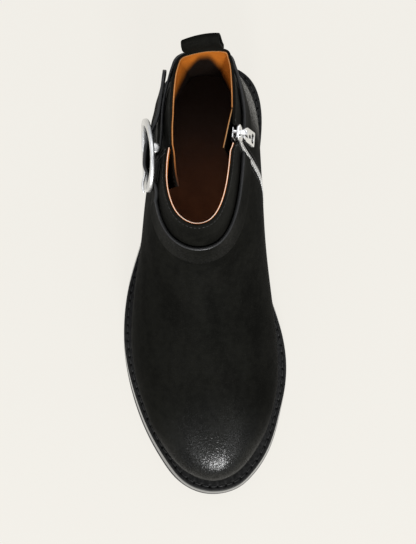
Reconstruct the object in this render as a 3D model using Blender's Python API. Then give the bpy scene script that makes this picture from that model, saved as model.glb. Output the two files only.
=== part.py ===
"""Right-foot ankle boot with an inner side zip and a buckled ankle strap, modelled piece by piece.

Metres, +Z up, toe towards -Y, inner (medial) side towards +X.
The origin is the centre of the heel's flat bottom face, on the floor.
Sizes are in millimetres, and MM scales them where a mesh is made.
A "station" is a distance forward of the heel's back edge, and a "turn" is an angle round the boot:
0 at the back, pi at the front, the outer (lateral) side between them and the inner side after them.
"""

import math

import bmesh
import bpy
import numpy as np

MM = 0.001

# Sole and heel
HEEL_ORIGIN = 31.0
HEEL_LENGTH = 62.0
HEEL_TAPER = 2.2
HEEL_BREAST_TAPER = 3.0
WELT_THICKNESS = 3.0
OUTSOLE_THICKNESS = 6.4
EDGE_BEVEL = 1.0
INSOLE_THICKNESS = 3.2
WELT_INNER_LEDGE = 5.0
GAP = 0.3

# Upper
WALL = 2.4
TOE_STATION = 267.0
ARCH_LIMIT = 0.5
SHAFT_BLEND_LOW = 52.0
SHAFT_BLEND_HIGH = 104.0
VIRTUAL_RIDGE_SLOPE = 3.0
HEEL_FLARE_SHARES = (0.0, 0.34)
UPPER_RINGS = 30
UPPER_COLUMNS = 56
SOLE_COLUMNS = 64
HEEL_COLUMNS = 40

# Ankle strap and buckle
STRAP_WIDTH = 16.5
STRAP_THICKNESS = 2.2
STRAP_CLEARANCE = 0.75
STRAP_BULGE = 1.7
STRAP_BACK_HEIGHT = 104.0
STRAP_FRONT_HEIGHT = 97.0
BUCKLE_STATION = 66.0
BUCKLE_X = -35.4
BUCKLE_HALF_LENGTH = 20.3
BUCKLE_HALF_HEIGHT = 15.8
BUCKLE_BAND = 4.4
BUCKLE_THICKNESS = 2.6
BUCKLE_LEAN = math.radians(10.5)
BUCKLE_YAW = math.radians(2.4)
BAR_RADIUS = 1.2
BAR_DEPTH = 2.3
BAR_OFFSET = -3.2
LUG_RADIUS = 3.0
LUG_THICKNESS = 2.4
LUG_DEPTH = 2.0
PRONG_RADIUS = 1.0
PRONG_OVERHANG = 2.4
TAIL_TIP = (14.5, -25.6)

# Zip
ZIP_TOP_HEIGHT = 129.5
ZIP_BOTTOM_HEIGHT = 45.0
ZIP_SLIT = 4.8
ZIP_CHAIN_WIDTH = 4.2
ZIP_CHAIN_PROUD = 0.4
ZIP_TAPE_WIDTH = 12.0
ZIP_TAPE_THICKNESS = 0.8
ZIP_TAPE_CLEARANCE = 0.8
SLIDER_LENGTH = 11.0
SLIDER_WIDTH = 10.0
SLIDER_PLATE = 2.3
SLIDER_TOP_DROP = 1.5
SLIDER_CORE_WIDTH = 3.8
BRIDGE_WIDTH = 2.6
BRIDGE_THICKNESS = 1.3
BRIDGE_SPAN = 5.0
PIN_RISE = 1.6
PULL_WIDTH = 9.0
PULL_LENGTH = 17.0
PULL_THICKNESS = 1.5
PULL_SLOT_WIDTH = 3.6
PULL_SLOT_END = 5.8
PULL_REST_ANGLE = math.radians(10.0)

SLIDER_Z = ZIP_TOP_HEIGHT - SLIDER_TOP_DROP - SLIDER_LENGTH / 2
SLIDER_BASE = ZIP_CHAIN_PROUD + GAP
PIN_OUT = SLIDER_BASE + SLIDER_PLATE + PIN_RISE

# Flaps and pull loop
FLAP_THICKNESS = 1.6
FLAP_CLEARANCE = 0.6
LOOP_HALF_TURN = 0.225
LOOP_SHIFT = -1.2
LOOP_SKEW = 0.11
LOOP_BASE_SKEW = 0.09
LOOP_BASE_RISE = 5.0
LOOP_HEIGHT = 17.0
LOOP_CLEARANCE = 0.8
LOOP_THICKNESS = 1.6

# Plan of the sole edge: station, outer half-width, inner half-width
SOLE_PLAN = (
    (0.0, 0.0, 0.0),
    (3.0, 14.5, 14.5),
    (9.0, 23.5, 23.8),
    (18.0, 30.0, 30.3),
    (30.0, 33.8, 34.0),
    (46.0, 34.8, 34.6),
    (75.0, 34.5, 31.6),
    (100.0, 38.2, 30.0),
    (120.0, 43.6, 32.0),
    (140.0, 49.4, 36.6),
    (160.0, 52.7, 43.2),
    (175.0, 53.4, 47.6),
    (190.0, 52.2, 50.0),
    (205.0, 49.2, 50.1),
    (222.0, 43.9, 47.1),
    (238.0, 37.3, 41.9),
    (252.0, 29.0, 35.2),
    (262.0, 21.2, 28.0),
    (269.5, 11.8, 19.6),
    (273.8, -3.6, 3.6),
)

# Margin of welt outside the feather edge: station, margin
WELT_MARGIN = ((0.0, 4.0), (60.0, 4.2), (120.0, 4.4), (180.0, 6.2), (235.0, 7.2), (275.0, 8.6))

# Plan of the upper where it is widest: station, outer half-width, inner half-width
UPPER_PLAN = (
    (2.5, 0.0, 0.0),
    (5.0, 11.5, 11.8),
    (11.0, 19.5, 20.0),
    (20.0, 25.6, 26.3),
    (35.0, 30.4, 31.3),
    (60.0, 34.4, 33.6),
    (90.0, 38.8, 35.3),
    (118.0, 42.0, 37.3),
    (140.0, 45.4, 39.9),
    (158.0, 47.4, 42.3),
    (173.0, 48.2, 44.2),
    (190.0, 47.2, 45.2),
    (205.0, 44.4, 44.9),
    (220.0, 39.7, 42.4),
    (235.0, 33.6, 37.6),
    (248.0, 25.4, 30.6),
    (257.0, 18.0, 23.8),
    (263.2, 9.4, 16.4),
    (267.0, -4.0, 4.0),
)

# Plan of the collar: share of its length from the back, outer half-width, inner half-width
COLLAR_PLAN = (
    (0.0, 1.0, -1.0),
    (0.004, 7.6, 5.8),
    (0.016, 14.0, 11.2),
    (0.06, 18.4, 14.3),
    (0.10, 19.7, 15.4),
    (0.18, 20.9, 16.3),
    (0.30, 21.6, 16.6),
    (0.46, 22.3, 16.0),
    (0.56, 23.7, 15.4),
    (0.66, 25.1, 14.4),
    (0.78, 24.7, 12.4),
    (0.87, 22.3, 9.7),
    (0.94, 18.3, 6.0),
    (0.977, 13.9, 2.2),
    (1.0, 5.9, -5.9),
)

# Heights along the foot: station, height of the feather edge
FEATHER_HEIGHT = (
    (0.0, 34.0),
    (45.0, 32.3),
    (80.0, 26.8),
    (115.0, 19.2),
    (150.0, 12.6),
    (185.0, 9.7),
    (215.0, 11.1),
    (245.0, 15.2),
    (275.0, 22.2),
)

# Front line of the upper from the toe's feather edge to the collar: station, height
FRONT_LINE = (
    (264.9, 19.8),
    (266.7, 25.8),
    (267.0, 31.2),
    (265.0, 38.0),
    (259.2, 44.0),
    (249.0, 48.8),
    (232.0, 53.4),
    (209.0, 58.4),
    (184.0, 63.8),
    (161.5, 69.8),
    (143.5, 77.4),
    (131.5, 86.8),
    (124.6, 97.0),
    (118.2, 111.0),
    (110.9, 128.0),
)

# Back line of the upper from the heel's feather edge to the collar: station, height
BACK_LINE = (
    (4.0, 34.0),
    (2.9, 42.0),
    (2.5, 52.0),
    (3.2, 66.0),
    (4.8, 80.0),
    (5.7, 95.0),
    (5.8, 112.0),
    (5.3, 133.0),
)

# Ridge of the instep seen from above: station, x
RIDGE_X = ((100.0, -6.4), (126.0, -4.8), (150.0, -2.4), (200.0, 1.2), (240.0, 3.2), (267.0, 4.0))

# Height of the widest line above the feather edge, and the arch's two exponents: station, height, rise, fall
ARCH = (
    (0.0, 20.0, 2.0, 2.0),
    (60.0, 26.0, 2.0, 2.0),
    (110.0, 24.0, 1.9, 1.6),
    (150.0, 19.0, 1.9, 1.6),
    (190.0, 16.0, 2.1, 1.9),
    (235.0, 14.0, 2.5, 2.2),
    (275.0, 12.0, 2.5, 2.2),
)

# Shaft width against the collar's: height, share
SHAFT_SHARE = (
    (45.0, 1.72),
    (60.0, 1.62),
    (80.0, 1.46),
    (93.0, 1.34),
    (102.0, 1.265),
    (111.0, 1.19),
    (133.0, 1.0),
)

# Line of the zip on the inner side: height, station
ZIP_LINE = (
    (40.0, 91.5),
    (60.0, 81.2),
    (77.0, 72.4),
    (88.0, 66.6),
    (100.0, 61.2),
    (112.0, 57.0),
    (133.0, 53.6),
)

# Colour, roughness, metallic
FINISHES = {
    "black_nubuck": ((0.012, 0.012, 0.013), 0.62, 0.0),
    "tan_lining": ((0.42, 0.17, 0.05), 0.6, 0.0),
    "brown_insole": ((0.06, 0.02, 0.008), 0.7, 0.0),
    "black_welt": ((0.01, 0.01, 0.01), 0.55, 0.0),
    "black_sole": ((0.008, 0.008, 0.008), 0.4, 0.0),
    "nickel": ((0.74, 0.74, 0.73), 0.25, 1.0),
    "zip_metal": ((0.45, 0.45, 0.43), 0.35, 1.0),
}


# Curves and outlines


def spline(knots, values):
    """A natural cubic spline through the knots, as a function that holds its end values."""
    x, y = np.asarray(knots, float), np.asarray(values, float)
    step = np.diff(x)
    count = len(x)
    matrix, right = np.eye(count), np.zeros(count)
    for i in range(1, count - 1):
        matrix[i, i - 1 : i + 2] = step[i - 1], 2 * (step[i - 1] + step[i]), step[i]
        right[i] = 6 * ((y[i + 1] - y[i]) / step[i] - (y[i] - y[i - 1]) / step[i - 1])
    bend = np.linalg.solve(matrix, right)

    def at(q):
        q = np.clip(q, x[0], x[-1])
        i = np.clip(np.searchsorted(x, q) - 1, 0, count - 2)
        after, before = q - x[i], x[i + 1] - q
        curved = (bend[i] * before**3 + bend[i + 1] * after**3) / (6 * step[i])
        low = (y[i] / step[i] - bend[i] * step[i] / 6) * before
        high = (y[i + 1] / step[i] - bend[i + 1] * step[i] / 6) * after
        return curved + low + high

    return at


def table(rows):
    """One spline for each column of a table after its first."""
    columns = np.array(rows).T
    return [spline(columns[0], column) for column in columns[1:]]


def arc_spline(rows):
    """A curve through the rows' points, one function of the share of its length for each column."""
    points = np.array(rows)
    chord = np.concatenate([[0.0], np.cumsum(np.hypot(*np.diff(points, axis=0).T))])
    share = chord / chord[-1]
    return [spline(share, column) for column in points.T]


def smoothstep(value, low, high):
    t = np.clip((value - low) / (high - low), 0, 1)
    return t * t * (3 - 2 * t)


class Outline:
    """A closed plan curve: the half-width on each side against an angle, 0 at its back, pi in front."""

    def __init__(self, back, front, angles, outer, inner):
        self.back, self.front = back, front
        self.outer, self.inner = spline(angles, outer), spline(angles, inner)

    @classmethod
    def from_rows(cls, rows):
        station, outer, inner = np.array(rows).T
        share = (station - station[0]) / (station[-1] - station[0])
        return cls(station[0], station[-1], np.arccos(1 - 2 * share), outer, inner)

    def x(self, turn):
        """The plan's x at a turn."""
        angle = np.where(turn <= np.pi, turn, 2 * np.pi - turn)
        return np.where(turn <= np.pi, -self.outer(angle), self.inner(angle))

    def station(self, turn):
        return self.back + (self.front - self.back) * (1 - np.cos(turn)) / 2

    def inset(self, margin, samples=400):
        """This outline moved in by margin, a function of the station."""
        turn = np.linspace(0, 2 * np.pi, samples, endpoint=False)
        x, station = self.x(turn), self.station(turn)
        along_x = np.roll(x, -1) - np.roll(x, 1)
        along_s = np.roll(station, -1) - np.roll(station, 1)
        size = np.hypot(along_x, along_s)
        move = margin(station)
        x, station = x + along_s / size * move, station - along_x / size * move
        half = samples // 2
        back, front = station[0], station[half]
        angle = np.arccos(np.clip(1 - 2 * (station - back) / (front - back), -1, 1))
        outer_angle, inner_angle = angle[: half + 1], np.append(angle[0], angle[:half - 1:-1])
        outer_x, inner_x = -x[: half + 1], np.append(x[0], x[:half - 1:-1])
        every = np.linspace(0, np.pi, half // 5)
        outer = np.interp(every, outer_angle, outer_x)
        inner = np.interp(every, inner_angle, inner_x)
        return Outline(back, front, every, outer, inner)


feather_height = table(FEATHER_HEIGHT)[0]
welt_margin = table(WELT_MARGIN)[0]
ridge_x = table(RIDGE_X)[0]
widest_height, arch_rise, arch_fall = table(ARCH)
shaft_share = table(SHAFT_SHARE)[0]
zip_station = table(ZIP_LINE)[0]
front_line = arc_spline(FRONT_LINE)
back_line = arc_spline(BACK_LINE)
sole_outline = Outline.from_rows(SOLE_PLAN)
upper_outline = Outline.from_rows(UPPER_PLAN)
collar_outline = Outline.from_rows(COLLAR_PLAN)
feather_outline = sole_outline.inset(welt_margin)

# The front and back lines read the other way round: station against height, and height against station
fine_share = np.linspace(0, 1, 4000)
fine_front = np.array([column(fine_share) for column in front_line])
fine_back = np.array([column(fine_share) for column in back_line])
toe_index = int(np.argmax(fine_front[0]))
toe_share = fine_share[toe_index]
over_toe = fine_front[:, toe_index:]


def front_station(z):
    return np.interp(z, over_toe[1], over_toe[0])


def back_station(z):
    return np.interp(z, fine_back[1], fine_back[0])


def ridge_height(station):
    """Height of the instep's ridge, carried on steeply behind the collar, where the boot is open."""
    on_foot = np.interp(station, over_toe[0][::-1], over_toe[1][::-1])
    collar_front = over_toe[0][-1]
    return on_foot + np.maximum(collar_front - station, 0) * VIRTUAL_RIDGE_SLOPE


# The upper's surface


def upper_x(turn, station, z, heel_end, toe_end):
    """x of the upper's outer face at a station and height, on the side that the turn gives."""
    inner_side = np.asarray(turn) > np.pi
    share = np.clip((station - heel_end) / (toe_end - heel_end), 0, 1)
    angle = np.arccos(1 - 2 * share)
    plan_turn = np.where(inner_side, 2 * np.pi - angle, angle)
    widest = upper_outline.x(plan_turn)
    feather = feather_outline.x(plan_turn)
    low, high = feather_height(station), ridge_height(station)
    rise = np.maximum(high - low, 1.0)
    level = np.clip((z - low) / rise, 0, 1)
    bulge = np.minimum(widest_height(station) / rise, ARCH_LIMIT)
    under = np.clip((bulge - level) / bulge, 0, 1)
    over = np.clip((level - bulge) / (1 - bulge), 0, 1)
    arch = (1 - over ** arch_rise(station)) ** (1 / arch_fall(station))
    middle = ridge_x(station)
    foot = np.where(level < bulge, widest + (feather - widest) * under**2, middle + (widest - middle) * arch)

    back, front = back_station(z), front_station(z)
    slice_share = np.clip((station - back) / (front - back), 0, 1)
    slice_angle = np.arccos(1 - 2 * slice_share)
    slice_turn = np.where(inner_side, 2 * np.pi - slice_angle, slice_angle)
    collar_back_x, collar_front_x = collar_outline.x(0.0), ridge_x(front)
    collar_middle = collar_back_x + (collar_outline.x(np.pi) - collar_back_x) * slice_share
    middle = collar_back_x + (collar_front_x - collar_back_x) * slice_share
    flare = 1 + (shaft_share(z) - 1) * smoothstep(slice_share, *HEEL_FLARE_SHARES)
    shaft = middle + (collar_outline.x(slice_turn) - collar_middle) * flare
    return foot + (shaft - foot) * smoothstep(z, SHAFT_BLEND_LOW, SHAFT_BLEND_HIGH)


def upper_ring(share, turn):
    """Points of the upper's outer face along one ring: share 0 is the feather edge and 1 the collar."""
    back, back_z = (column(share) for column in back_line)
    front, front_z = (column(share) for column in front_line)
    part = (1 - np.cos(turn)) / 2
    station = back + (front - back) * part
    lift_back, lift_front = back_z - feather_height(back), front_z - feather_height(front)
    along_foot = feather_height(station) + lift_back + (lift_front - lift_back) * part
    level = back_z + (front_z - back_z) * part
    z = along_foot + (level - along_foot) * share
    toe_end = front if share < toe_share else TOE_STATION
    x = upper_x(turn, station, z, back, toe_end)
    return np.stack([x, station, z], axis=-1)


def shaft_point(turn, z, out=0.0):
    """A point of the shaft at a turn and height, moved out from the outer face along its normal."""

    def on_face(t, height):
        t = t % (2 * math.pi)
        back, front = back_station(height), front_station(height)
        station = back + (front - back) * (1 - np.cos(t)) / 2
        return np.array([upper_x(t, station, height, back, TOE_STATION), station, height], float)

    step = 0.02
    around = on_face(turn + step, z) - on_face(turn - step, z)
    up = on_face(turn, z + 1.0) - on_face(turn, z - 1.0)
    normal = np.cross(around, up)
    normal /= np.linalg.norm(normal)
    point, opposite = on_face(turn, z), on_face(turn + math.pi, z)
    if np.dot(normal, point - opposite) < 0:
        normal = -normal
    return point + normal * out


def turn_at(station, z, inner_side):
    """The turn at which a horizontal slice of the shaft passes a station."""
    back, front = back_station(z), front_station(z)
    angle = math.acos(np.clip(1 - 2 * (station - back) / (front - back), -1, 1))
    return 2 * math.pi - angle if inner_side else angle


# Meshes


def world(points):
    """Points of x, station and height in millimetres as x, y, z in metres."""
    points = np.asarray(points, float)
    placed = np.stack([points[..., 0], HEEL_ORIGIN - points[..., 1], points[..., 2]], axis=-1)
    return placed * MM


def material(name):
    made = bpy.data.materials.get(name) or bpy.data.materials.new(name)
    colour, roughness, metallic = FINISHES[name]
    made.use_nodes = True
    shader = made.node_tree.nodes["Principled BSDF"]
    shader.inputs["Base Color"].default_value = (*colour, 1.0)
    shader.inputs["Roughness"].default_value = roughness
    shader.inputs["Metallic"].default_value = metallic
    return made


def finish_object(name, bm, finish, smooth_angle=40.0):
    """A named object from a bmesh, with its faces turned out, shaded smooth and given its finish."""
    bmesh.ops.recalc_face_normals(bm, faces=bm.faces[:])
    mesh = bpy.data.meshes.new(name)
    bm.to_mesh(mesh)
    bm.free()
    mesh.shade_smooth()
    mesh.set_sharp_from_angle(angle=math.radians(smooth_angle))
    mesh.materials.append(material(finish))
    made = bpy.data.objects.new(name, mesh)
    bpy.context.scene.collection.objects.link(made)
    return made


def add_loop(bm, points):
    return [bm.verts.new(point) for point in world(points)]


def bridge(bm, first, second, closed=True):
    count = len(first)
    for i in range(count if closed else count - 1):
        j = (i + 1) % count
        bm.faces.new((first[i], first[j], second[j], second[i]))


def cap_across(bm, loop):
    """Fills a loop that starts at the back with strips from side to side."""
    count = len(loop)
    for i in range(count // 2):
        corners = [loop[i], loop[i + 1], loop[count - i - 1], loop[-i] if i else loop[0]]
        bm.faces.new(list(dict.fromkeys(corners)))


def sweep(name, sections, finish, closed=False):
    """A solid through a row of cross-sections with the same number of corners."""
    bm = bmesh.new()
    loops = [add_loop(bm, section) for section in sections]
    for first, second in zip(loops, loops[1:]):
        bridge(bm, first, second)
    if closed:
        bridge(bm, loops[-1], loops[0])
    else:
        bm.faces.new(loops[0])
        bm.faces.new(loops[-1])
    return finish_object(name, bm, finish)


def cut(target, cutter):
    """Takes the cutter's shape out of the target."""
    cutter.hide_render = True
    cutter.display_type = "WIRE"
    boolean = target.modifiers.new("cut_" + cutter.name, "BOOLEAN")
    boolean.operation = "DIFFERENCE"
    boolean.solver = "EXACT"
    boolean.object = cutter


def join(target, other):
    """Joins the other's shape to the target as one body."""
    boolean = target.modifiers.new("join_" + other.name, "BOOLEAN")
    boolean.operation = "UNION"
    boolean.solver = "EXACT"
    boolean.object = other
    other.hide_render = True
    other.display_type = "WIRE"


# Sole pieces


def sole_loop(outline, depth, columns, floor=None):
    """The outline laid along the foot, at a depth below the feather edge and square to the sole there."""
    turn = np.linspace(0, 2 * np.pi, columns, endpoint=False)
    x, station = outline.x(turn), outline.station(turn)
    slope = (feather_height(station + 1.0) - feather_height(station - 1.0)) / 2
    size = np.hypot(1.0, slope)
    z = feather_height(station) - depth / size
    if floor is not None:
        z = np.maximum(z, floor)
    return np.stack([x, station + slope / size * depth, z], axis=-1)


def build_outsole():
    top = GAP + WELT_THICKNESS + GAP
    bottom = top + OUTSOLE_THICKNESS
    bevelled = sole_outline.inset(lambda station: np.full_like(station, EDGE_BEVEL))
    bm = bmesh.new()
    loops = [
        add_loop(bm, sole_loop(sole_outline, top, SOLE_COLUMNS)),
        add_loop(bm, sole_loop(sole_outline, bottom - EDGE_BEVEL, SOLE_COLUMNS, EDGE_BEVEL)),
        add_loop(bm, sole_loop(bevelled, bottom, SOLE_COLUMNS, 0.0)),
    ]
    for first, second in zip(loops, loops[1:]):
        bridge(bm, first, second)
    cap_across(bm, loops[0])
    cap_across(bm, loops[-1])
    return finish_object("outsole", bm, "black_sole")


def build_welt():
    inner = feather_outline.inset(lambda station: np.full_like(station, WELT_INNER_LEDGE))
    bm = bmesh.new()
    loops = [
        add_loop(bm, sole_loop(sole_outline, GAP, SOLE_COLUMNS)),
        add_loop(bm, sole_loop(sole_outline, GAP + WELT_THICKNESS, SOLE_COLUMNS)),
        add_loop(bm, sole_loop(inner, GAP + WELT_THICKNESS, SOLE_COLUMNS)),
        add_loop(bm, sole_loop(inner, GAP, SOLE_COLUMNS)),
    ]
    for first, second in zip(loops, loops[1:] + loops[:1]):
        bridge(bm, first, second)
    return finish_object("welt", bm, "black_welt")


def build_insole():
    clear = feather_outline.inset(lambda station: np.full_like(station, WALL + 2 * GAP))
    bm = bmesh.new()
    top = add_loop(bm, sole_loop(clear, -INSOLE_THICKNESS, SOLE_COLUMNS))
    bottom = add_loop(bm, sole_loop(clear, 0.0, SOLE_COLUMNS))
    bridge(bm, bottom, top)
    cap_across(bm, top)
    cap_across(bm, bottom)
    return finish_object("insole", bm, "brown_insole")


def heel_outline(taper, breast):
    """The back of the sole's outline, cut off by the heel's breast, as a loop of x and station."""
    smaller = sole_outline.inset(lambda station: np.full_like(station, taper))
    breast_angle = math.acos(1 - 2 * (breast - smaller.back) / (smaller.front - smaller.back))
    side = np.linspace(0, breast_angle, HEEL_COLUMNS // 2 + 1)
    turn = np.concatenate([side, 2 * np.pi - side[:0:-1]])
    return smaller.x(turn), smaller.station(turn)


def build_heel():
    depth = GAP + WELT_THICKNESS + GAP + OUTSOLE_THICKNESS + GAP
    bm = bmesh.new()
    x, station = heel_outline(EDGE_BEVEL, HEEL_LENGTH)
    top = add_loop(bm, np.stack([x, station, feather_height(station) - depth], axis=-1))
    x, station = heel_outline(HEEL_TAPER, HEEL_LENGTH - HEEL_BREAST_TAPER)
    bottom = add_loop(bm, np.stack([x, station, np.zeros_like(x)], axis=-1))
    bridge(bm, bottom, top)
    cap_across(bm, top)
    cap_across(bm, bottom)
    return finish_object("heel", bm, "black_sole")


# Upper


def build_upper():
    turn = np.linspace(0, 2 * np.pi, UPPER_COLUMNS, endpoint=False)
    bm = bmesh.new()
    loops = [add_loop(bm, upper_ring(share, turn)) for share in np.linspace(0, 1, UPPER_RINGS)]
    for first, second in zip(loops, loops[1:]):
        bridge(bm, first, second)
    made = finish_object("upper", bm, "black_nubuck")
    wall = made.modifiers.new("wall", "SOLIDIFY")
    wall.thickness = WALL * MM
    wall.offset = -1.0
    wall.use_even_offset = True
    wall.use_quality_normals = True
    return made


# Zip


def zip_turn(z):
    """The zip's turn at a height: it leans forward as it goes down."""
    return turn_at(zip_station(z), z, inner_side=True)


def zip_frame(z):
    """At a height on the zip's line: the point on the outer face, and the ways up, across and out."""
    point = shaft_point(zip_turn(z), z)
    up = shaft_point(zip_turn(z + 1), z + 1) - shaft_point(zip_turn(z - 1), z - 1)
    up /= np.linalg.norm(up)
    out = shaft_point(zip_turn(z), z, 1.0) - point
    out -= up * np.dot(out, up)
    out /= np.linalg.norm(out)
    return point, up, np.cross(up, out), out


def zip_section(z, corners):
    """Corners of across and out, placed at a height on the zip's line."""
    point, _, across, out = zip_frame(z)
    return [point + across * a + out * o for a, o in corners]


def build_zip_slit(upper):
    half, reach = ZIP_SLIT / 2, 3 * WALL
    corners = ((-half, -reach), (half, -reach), (half, reach), (-half, reach))
    heights = np.linspace(ZIP_BOTTOM_HEIGHT - 1, ZIP_TOP_HEIGHT + 1.5, 16)
    sections = [zip_section(z, corners) for z in heights]
    above = np.array([0.0, 0.0, 8.0])
    sections.append([corner + above for corner in sections[-1]])
    cut(upper, sweep("zip_slit_cutter", sections, "zip_metal"))


def build_zip_chain():
    half, tape = ZIP_CHAIN_WIDTH / 2, ZIP_TAPE_WIDTH / 2
    tape_out = -WALL - ZIP_TAPE_CLEARANCE
    tape_in = tape_out - ZIP_TAPE_THICKNESS
    corners = (
        (-tape, tape_in),
        (tape, tape_in),
        (tape, tape_out),
        (half, tape_out),
        (half, ZIP_CHAIN_PROUD),
        (-half, ZIP_CHAIN_PROUD),
        (-half, tape_out),
        (-tape, tape_out),
    )
    heights = np.linspace(ZIP_BOTTOM_HEIGHT, SLIDER_Z - GAP, 16)
    return sweep("zip_chain", [zip_section(z, corners) for z in heights], "zip_metal")


def block(name, frame, low, high, finish):
    """A box in a frame of point, up, across and out, from a low to a high corner of up, across and out."""
    point, up, across, out = frame
    sections = []
    for u in (low[0], high[0]):
        ring = ((low[1], low[2]), (high[1], low[2]), (high[1], high[2]), (low[1], high[2]))
        sections.append([point + up * u + across * a + out * o for a, o in ring])
    return sweep(name, sections, finish)


def build_zip_slider():
    frame = zip_frame(SLIDER_Z)
    half, width = SLIDER_LENGTH / 2, SLIDER_WIDTH / 2
    top = SLIDER_BASE + SLIDER_PLATE
    made = block("zip_slider", frame, (-half, -width, SLIDER_BASE), (half, width, top), "nickel")
    inside, bar = BRIDGE_SPAN / 2, BRIDGE_WIDTH / 2
    post = inside + BRIDGE_THICKNESS
    under = PIN_OUT + PIN_RISE
    sunk = top - 0.6 * SLIDER_PLATE
    roof = under + BRIDGE_THICKNESS
    arch = ((-post, sunk), (-post, roof), (post, roof), (post, sunk), (inside, sunk), (inside, under),
            (-inside, under), (-inside, sunk))
    point, up, across, out = frame
    sections = [[point + across * a + up * u + out * o for u, o in arch] for a in (-bar, bar)]
    join(made, sweep("zip_bridge", sections, "nickel"))
    core = SLIDER_CORE_WIDTH / 2
    join(made, block("zip_slider_core", frame, (GAP, -core, -WALL), (half, core, top - GAP), "nickel"))
    return made


def pull_frame():
    """The pull tab's hinge: a point on its axis, and the ways along the tab, along the axis and out."""
    point, up, across, out = zip_frame(SLIDER_Z)
    cosine, sine = math.cos(PULL_REST_ANGLE), math.sin(PULL_REST_ANGLE)
    along = -up * cosine + out * sine
    return point + out * PIN_OUT, along, across, out * cosine + up * sine


def build_zip_pull():
    frame = pull_frame()
    half, width = PULL_THICKNESS / 2, PULL_WIDTH / 2
    made = block("zip_pull", frame, (-half, -width, -half), (PULL_LENGTH, width, half), "nickel")
    slot = PULL_SLOT_WIDTH / 2
    window = block("zip_pull_slot", frame, (half, -slot, -width), (PULL_SLOT_END, slot, width), "nickel")
    cut(made, window)
    return made


# Ankle strap


def strap_height(station):
    share = station / fine_front[0][-1]
    return STRAP_BACK_HEIGHT + (STRAP_FRONT_HEIGHT - STRAP_BACK_HEIGHT) * share


def strap_section(turn, clearance=STRAP_CLEARANCE):
    """Cross-section of the strap lying on the shaft at a turn: three corners inside, three outside."""
    middle = shaft_point(turn, STRAP_BACK_HEIGHT)
    z = strap_height(middle[1])
    up = shaft_point(turn, z + 2) - shaft_point(turn, z - 2)
    reach = STRAP_WIDTH / 2 * up[2] / np.linalg.norm(up)
    heights = (z - reach, z, z + reach)
    inside = [shaft_point(turn, height, clearance) for height in heights]
    outside = [shaft_point(turn, height, clearance + STRAP_THICKNESS) for height in heights]
    return inside + outside[::-1]


def build_back_strap():
    start = zip_turn(STRAP_BACK_HEIGHT) + 0.09
    wall_end = turn_at(BUCKLE_STATION - 3, STRAP_BACK_HEIGHT, inner_side=False)
    turns = np.linspace(start, 2 * math.pi + wall_end, 26) % (2 * math.pi)
    return sweep("strap_back", [strap_section(turn) for turn in turns], "black_nubuck")


def build_front_strap():
    """The strap from the zip round the front, over the buckle's bar and on to its free tail."""
    start = zip_turn(STRAP_BACK_HEIGHT) - 0.09
    leave = turn_at(BUCKLE_STATION + 27, STRAP_BACK_HEIGHT, inner_side=False)
    sections = [strap_section(turn) for turn in np.linspace(start, leave, 36)]
    last = np.mean(sections[-1], axis=0)
    rise = sections[-1][2] - sections[-1][0]
    wall_lean = rise[0] / rise[2]
    rim = BUCKLE_HALF_LENGTH + BUCKLE_BAND / 2
    under = BUCKLE_X + BUCKLE_THICKNESS / 2 + STRAP_THICKNESS / 2 + 1.2 * GAP
    over_bar = BUCKLE_X - STRAP_BULGE
    yaw = rim * math.tan(BUCKLE_YAW)
    route_station = np.array([TAIL_TIP[0], BUCKLE_STATION - rim, BUCKLE_STATION + rim, last[1]])
    route_x = np.array([TAIL_TIP[1], under + yaw, under - yaw, last[0]])

    def centre(at):
        """x of the strap's middle: a softened line under the ring, with a rise over the bar."""
        line = np.mean(np.interp(at + np.linspace(-3, 3, 7), route_station, route_x))
        return line + (over_bar - under) * (1 - smoothstep(abs(at - BUCKLE_STATION), 2.0, 13.5))

    station = np.linspace(last[1], TAIL_TIP[0], 26)[1:]
    tip = TAIL_TIP[0]
    half = STRAP_THICKNESS / 2
    for at in station:
        slope = centre(at + 0.5) - centre(at - 0.5)
        normal = np.array([-1.0, slope, 0.0]) / math.hypot(1.0, slope)
        narrow = min(1.0, 0.45 + (at - tip) / STRAP_WIDTH)
        reach = STRAP_WIDTH / 2 * narrow
        lean = math.tan(BUCKLE_LEAN) * smoothstep(at, tip, BUCKLE_STATION - rim)
        lean += (wall_lean - lean) * smoothstep(at, BUCKLE_STATION + rim - 6, last[1])
        point = np.array([centre(at), at, strap_height(at)])
        rows = [point + np.array([lean * rise, 0.0, rise]) for rise in (-reach, 0.0, reach)]
        sections.append([row - normal * half for row in rows] + [row + normal * half for row in rows[::-1]])
    return sweep("strap_front", sections, "black_nubuck")


# Buckle


def buckle_frame():
    """Centre of the buckle's ring, its way up, its way forward and its way out from the boot."""
    centre = np.array([BUCKLE_X, BUCKLE_STATION, strap_height(BUCKLE_STATION)])
    forward = np.array([-math.sin(BUCKLE_YAW), math.cos(BUCKLE_YAW), 0.0])
    up = np.array([math.sin(BUCKLE_LEAN), 0.0, math.cos(BUCKLE_LEAN)])
    out = np.cross(up, forward)
    out /= np.linalg.norm(out)
    return centre, up, forward, out if out[0] < 0 else -out


def wire(name, points, radius, finish, sides=10, closed=False):
    """A round wire along a row of points."""
    points = np.asarray(points, float)
    sections = []
    ends = len(points) - 1
    for i, point in enumerate(points):
        before = points[i - 1] if closed or i > 0 else points[0]
        after = points[(i + 1) % len(points)] if closed or i < ends else points[-1]
        along = (after - before) / np.linalg.norm(after - before)
        side = np.cross(along, np.array([1.0, 0.0, 0.2]))
        side /= np.linalg.norm(side)
        other = np.cross(along, side)
        angles = np.linspace(0, 2 * np.pi, sides, endpoint=False)
        sections.append([point + (side * math.cos(a) + other * math.sin(a)) * radius for a in angles])
    return sweep(name, sections, finish, closed=closed)


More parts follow.
